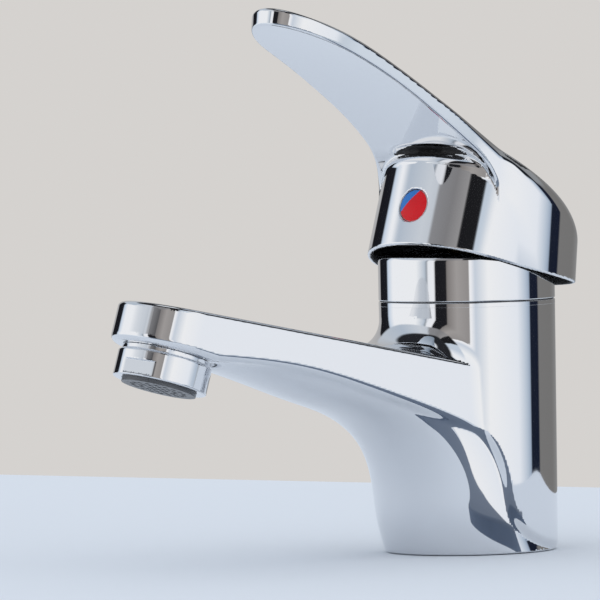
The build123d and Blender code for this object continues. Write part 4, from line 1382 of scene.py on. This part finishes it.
class Sky:
    """The studio all round, as a world shader by direction."""

    # Direction round the tap in degrees from the camera's side, to its right, and the colour there
    LEVEL = (
        (-180, (0.50, 0.49, 0.48)), (-156, (0.45, 0.45, 0.46)), (-153, (0.010, 0.010, 0.013)),
        (-129, (0.012, 0.013, 0.018)), (-126, (0.62, 0.72, 0.84)), (-114, (0.97, 0.98, 1.0)),
        (-70, (0.98, 0.99, 1.0)), (-57, (0.55, 0.62, 0.70)),
        (-54.5, (0.30, 0.33, 0.37)), (-52, (0.92, 0.94, 0.97)), (-44, (0.98, 0.98, 1.0)),
        (-42.5, (0.012, 0.012, 0.015)), (-28, (0.015, 0.015, 0.018)), (-26.5, (0.24, 0.22, 0.21)),
        (-14, (0.40, 0.375, 0.36)), (1.5, (0.33, 0.31, 0.30)), (2.2, (1.0, 1.0, 1.0)),
        (4.5, (0.98, 0.98, 1.0)), (10, (0.66, 0.72, 0.80)), (27, (1.0, 1.0, 1.0)),
        (68, (0.90, 0.93, 0.98)), (82, (0.55, 0.63, 0.73)), (88, (0.36, 0.44, 0.56)),
        (90, (0.012, 0.016, 0.030)), (104, (0.010, 0.014, 0.030)), (106.5, (0.21, 0.205, 0.20)),
        (140, (0.20, 0.195, 0.19)), (164, (0.26, 0.26, 0.26)), (180, (0.50, 0.49, 0.48)),
    )
    HIGH = (
        (-180, (0.50, 0.50, 0.51)), (-150, (0.56, 0.61, 0.67)), (-100, (0.50, 0.57, 0.66)),
        (-62, (0.66, 0.70, 0.75)), (-50, (0.62, 0.66, 0.71)), (-46, (0.28, 0.28, 0.29)),
        (-24, (0.24, 0.235, 0.24)), (-7, (0.33, 0.32, 0.32)), (-5, (0.012, 0.012, 0.014)),
        (15, (0.014, 0.014, 0.016)),
        (17, (0.62, 0.70, 0.79)), (32, (0.62, 0.69, 0.78)), (50, (0.94, 0.96, 0.99)),
        (66, (1.0, 1.0, 1.0)), (72, (0.70, 0.76, 0.82)),
        (75, (0.012, 0.014, 0.020)), (96, (0.012, 0.014, 0.020)), (99, (0.29, 0.30, 0.31)),
        (150, (0.30, 0.31, 0.32)), (180, (0.42, 0.42, 0.43)),
    )
    # The same below the floor's level
    LOW = (
        (-180, (0.30, 0.36, 0.44)), (-150, (0.45, 0.52, 0.60)), (-138, (0.78, 0.86, 0.94)),
        (-60, (0.84, 0.90, 0.97)), (-48, (0.60, 0.68, 0.77)), (-40, (0.20, 0.25, 0.31)),
        (0, (0.17, 0.21, 0.28)), (30, (0.20, 0.25, 0.33)), (45, (0.33, 0.39, 0.46)),
        (62, (0.52, 0.59, 0.66)), (86, (0.72, 0.79, 0.87)), (104, (0.74, 0.80, 0.88)),
        (118, (0.50, 0.52, 0.55)), (180, (0.30, 0.36, 0.44)),
    )
    # Heights in degrees between which one belt of the sky turns into the next
    FADES = {
        "high": (21, 26), "dark": (46, 52), "top": (72, 80), "low": (-5, -9), "ground": (-32, -46),
    }

    def __init__(self, world, studio, right, toward):
        world.use_nodes = True
        self.nodes, self.links = world.node_tree.nodes, world.node_tree.links
        self.nodes.clear()
        where = self.nodes.new("ShaderNodeTexCoord").outputs["Generated"]
        across = self.dot(where, right)
        near = self.dot(where, toward)
        round_it = self.math("ARCTAN2", across, near)
        share = self.math("MULTIPLY_ADD", round_it, 0.5 / math.pi, 0.5)
        up = self.dot(where, (0, 0, 1))
        height = self.math("ARCSINE", up)
        belts = {
            name: self.fade(height, *map(math.radians, limits)) for name, limits in self.FADES.items()
        }
        colour = self.mix(belts["high"], self.ramp(share, self.LEVEL), self.ramp(share, self.HIGH))
        colour = self.mix(belts["low"], colour, self.ramp(share, self.LOW))
        colour = self.mix(belts["ground"], colour, studio.floor_glow)
        colour = self.mix(belts["dark"], colour, studio.ceiling)
        colour = self.mix(belts["top"], colour, studio.overhead)
        light = self.nodes.new("ShaderNodeLightPath")
        mirror = self.background(colour, 1.0)
        soft = self.background(studio.soft_light, studio.strength)
        wall = self.background(studio.wall, 1.0)
        sharp = self.math(
            "MAXIMUM", light.outputs["Is Glossy Ray"], light.outputs["Is Transmission Ray"]
        )
        shader = self.switch(sharp, soft, mirror)
        shader = self.switch(light.outputs["Is Camera Ray"], shader, wall)
        out = self.nodes.new("ShaderNodeOutputWorld")
        self.links.new(shader, out.inputs["Surface"])

    def dot(self, vector, axis):
        """Dot product with a fixed axis."""
        node = self.nodes.new("ShaderNodeVectorMath")
        node.operation = "DOT_PRODUCT"
        self.links.new(vector, node.inputs[0])
        node.inputs[1].default_value = axis
        return node.outputs["Value"]

    def math(self, operation, *values):
        """A math node over links and plain numbers."""
        node = self.nodes.new("ShaderNodeMath")
        node.operation = operation
        for socket, value in zip(node.inputs, values):
            if isinstance(value, (int, float)):
                socket.default_value = value
            else:
                self.links.new(value, socket)
        return node.outputs["Value"]

    def fade(self, value, low, high):
        """A smooth step of a value."""
        node = self.nodes.new("ShaderNodeMapRange")
        node.interpolation_type = "SMOOTHSTEP"
        node.inputs["From Min"].default_value = low
        node.inputs["From Max"].default_value = high
        self.links.new(value, node.inputs["Value"])
        return node.outputs["Result"]

    def ramp(self, value, stops):
        """A colour ramp over the full turn."""
        node = self.nodes.new("ShaderNodeValToRGB")
        elements = node.color_ramp.elements
        while len(elements) > 1:
            elements.remove(elements[-1])
        for i, (degrees, value_there) in enumerate(stops):
            at = (degrees + 180) / 360
            element = elements[0] if i == 0 else elements.new(at)
            element.position = at
            element.color = (*value_there, 1.0)
        self.links.new(value, node.inputs["Fac"])
        return node.outputs["Color"]

    def feed(self, socket, value):
        """Links a socket, or sets its plain colour."""
        if isinstance(value, bpy.types.NodeSocket):
            self.links.new(value, socket)
        else:
            socket.default_value = (*value, 1.0)

    def mix(self, factor, first, second):
        """Mixes two colours."""
        node = self.nodes.new("ShaderNodeMix")
        node.data_type = "RGBA"
        self.links.new(factor, node.inputs[0])
        self.feed(node.inputs[6], first)
        self.feed(node.inputs[7], second)
        return node.outputs[2]

    def background(self, colour, strength):
        """A background shader."""
        node = self.nodes.new("ShaderNodeBackground")
        self.feed(node.inputs["Color"], colour)
        node.inputs["Strength"].default_value = strength
        return node.outputs["Background"]

    def switch(self, factor, first, second):
        """Picks between two shaders."""
        node = self.nodes.new("ShaderNodeMixShader")
        self.links.new(factor, node.inputs[0])
        self.links.new(first, node.inputs[1])
        self.links.new(second, node.inputs[2])
        return node.outputs["Shader"]


class TAP_OT_stage(bpy.types.Operator):
    """Builds the floor, the light and the camera"""

    bl_idname = "tap.stage"
    bl_label = "Studio"
    # Corner radius, thickness and edge rounding of the floor and of the card, and the card's top
    FLOOR = (80.0, 24.0, 5.0)
    CARD = (25.0, 8.8, 2.0)
    CARD_TOP = 9.0

    def execute(self, context):
        studio = context.scene.tap_studio
        turn, lift, roll = studio.azimuth, studio.elevation, studio.roll
        right = Vector((math.cos(turn), math.sin(turn), 0))
        toward = Vector((math.sin(turn), -math.cos(turn), 0))
        back = toward * math.cos(lift) + Vector((0, 0, math.sin(lift)))
        up = back.cross(right)
        across = right * math.cos(roll) + up * math.sin(roll)
        upright = up * math.cos(roll) - right * math.sin(roll)
        target = Vector((studio.target_x, studio.target_y, studio.target_z))
        view = bpy.data.cameras.new("Camera")
        view.lens, view.sensor_width = studio.lens, 36.0
        view.clip_start, view.clip_end = 0.05, 60.0
        camera = bpy.data.objects.new("Camera", view)
        turned_axes = Matrix((across, upright, back)).transposed().to_4x4()
        camera.matrix_world = Matrix.Translation(target + back * studio.distance) @ turned_axes
        context.scene.collection.objects.link(camera)
        context.scene.camera = camera
        self.build_floor(studio, right, toward)
        world = bpy.data.worlds.new("Studio")
        context.scene.world = world
        Sky(world, studio, right, toward)
        context.scene.view_settings.view_transform = "Standard"
        return {"FINISHED"}

    def build_floor(self, studio, right, toward):
        """A pale glazed slab, and a dark card beside the base that only the chrome sees: a painted dark
        reflection.
        """
        finish = Finish("Floor glaze", tuple(studio.floor), 0.0, 0.5)
        finish.shader.inputs["Specular IOR Level"].default_value = 0.0
        finish.vary_colour(finish.noise(1.5, 2.0), studio.floor, shade(studio.floor, 1.03))
        along = Vector((math.cos(studio.floor_turn), math.sin(studio.floor_turn), 0))
        limits = in_mm(studio, "floor_left", "floor_right", "floor_front", "floor_back")
        drop = studio.floor_drop / MM
        flat_slab("floor", along, limits, -drop, self.FLOOR, finish.material)
        # The card is seen by glossy rays only. It paints a dark reflection into the chrome, and casts no
        # shadow or light of its own.
        reflection_card_finish = Finish("Reflection card", tuple(studio.card), 0.0, 0.9)
        reflection_card_finish.vary_colour(reflection_card_finish.noise(4.0), studio.card, shade(studio.card, 1.15))
        limits = in_mm(studio, "card_left", "card_right", "card_front", "card_back")
        beside = right * math.cos(studio.card_turn) - toward * math.sin(studio.card_turn)
        card = flat_slab("card", beside, limits, self.CARD_TOP, self.CARD, reflection_card_finish.material)
        card.visible_camera = card.visible_diffuse = card.visible_shadow = False


class TAP_PT_panel(bpy.types.Panel):
    """Lists the steps that build the tap"""

    bl_idname = "TAP_PT_panel"
    bl_label = "Basin Mixer Tap"
    bl_space_type = "VIEW_3D"
    bl_region_type = "UI"
    bl_category = "Tap"

    def draw(self, context):
        scene = context.scene
        groups = (
            ("Body", scene.tap_body, ("tap.body",)),
            ("Lever", scene.tap_handle, ("tap.handle", "tap.index")),
            ("Trim", scene.tap_trim, ("tap.trim_ring", "tap.aerator")),
            ("Finishes", scene.tap_finishes, ("tap.cartridge", "tap.fixings")),
            ("Studio", scene.tap_studio, ("tap.stage",)),
        )
        for title, sizes, steps in groups:
            box = self.layout.box()
            box.label(text=title)
            for name in sizes.__annotations__:
                box.prop(sizes, name)
            for step in steps:
                box.operator(step)


GROUPS = {
    "tap_body": TapBodySizes,
    "tap_handle": TapHandleSizes,
    "tap_trim": TapTrimSizes,
    "tap_finishes": TapFinishes,
    "tap_studio": TapStudio,
}
OPERATORS = (
    TAP_OT_body, TAP_OT_trim_ring, TAP_OT_handle, TAP_OT_index, TAP_OT_aerator, TAP_OT_cartridge,
    TAP_OT_fixings, TAP_OT_stage,
)


def register():
    """Registers the add-on."""
    for item in (*GROUPS.values(), *OPERATORS, TAP_PT_panel):
        bpy.utils.register_class(item)
    for name, group in GROUPS.items():
        setattr(bpy.types.Scene, name, PointerProperty(type=group))


def unregister():
    """Removes the add-on."""
    for name in GROUPS:
        delattr(bpy.types.Scene, name)
    for item in (TAP_PT_panel, *OPERATORS[::-1], *GROUPS.values()):
        bpy.utils.unregister_class(item)


def main():
    """Builds the tap and its studio."""
    register()
    bpy.ops.tap.body()
    bpy.ops.tap.trim_ring()
    bpy.ops.tap.handle()
    bpy.ops.tap.index()
    bpy.ops.tap.aerator()
    bpy.ops.tap.cartridge()
    bpy.ops.tap.fixings()
    bpy.ops.tap.stage()


if __name__ == "__main__":
    main()
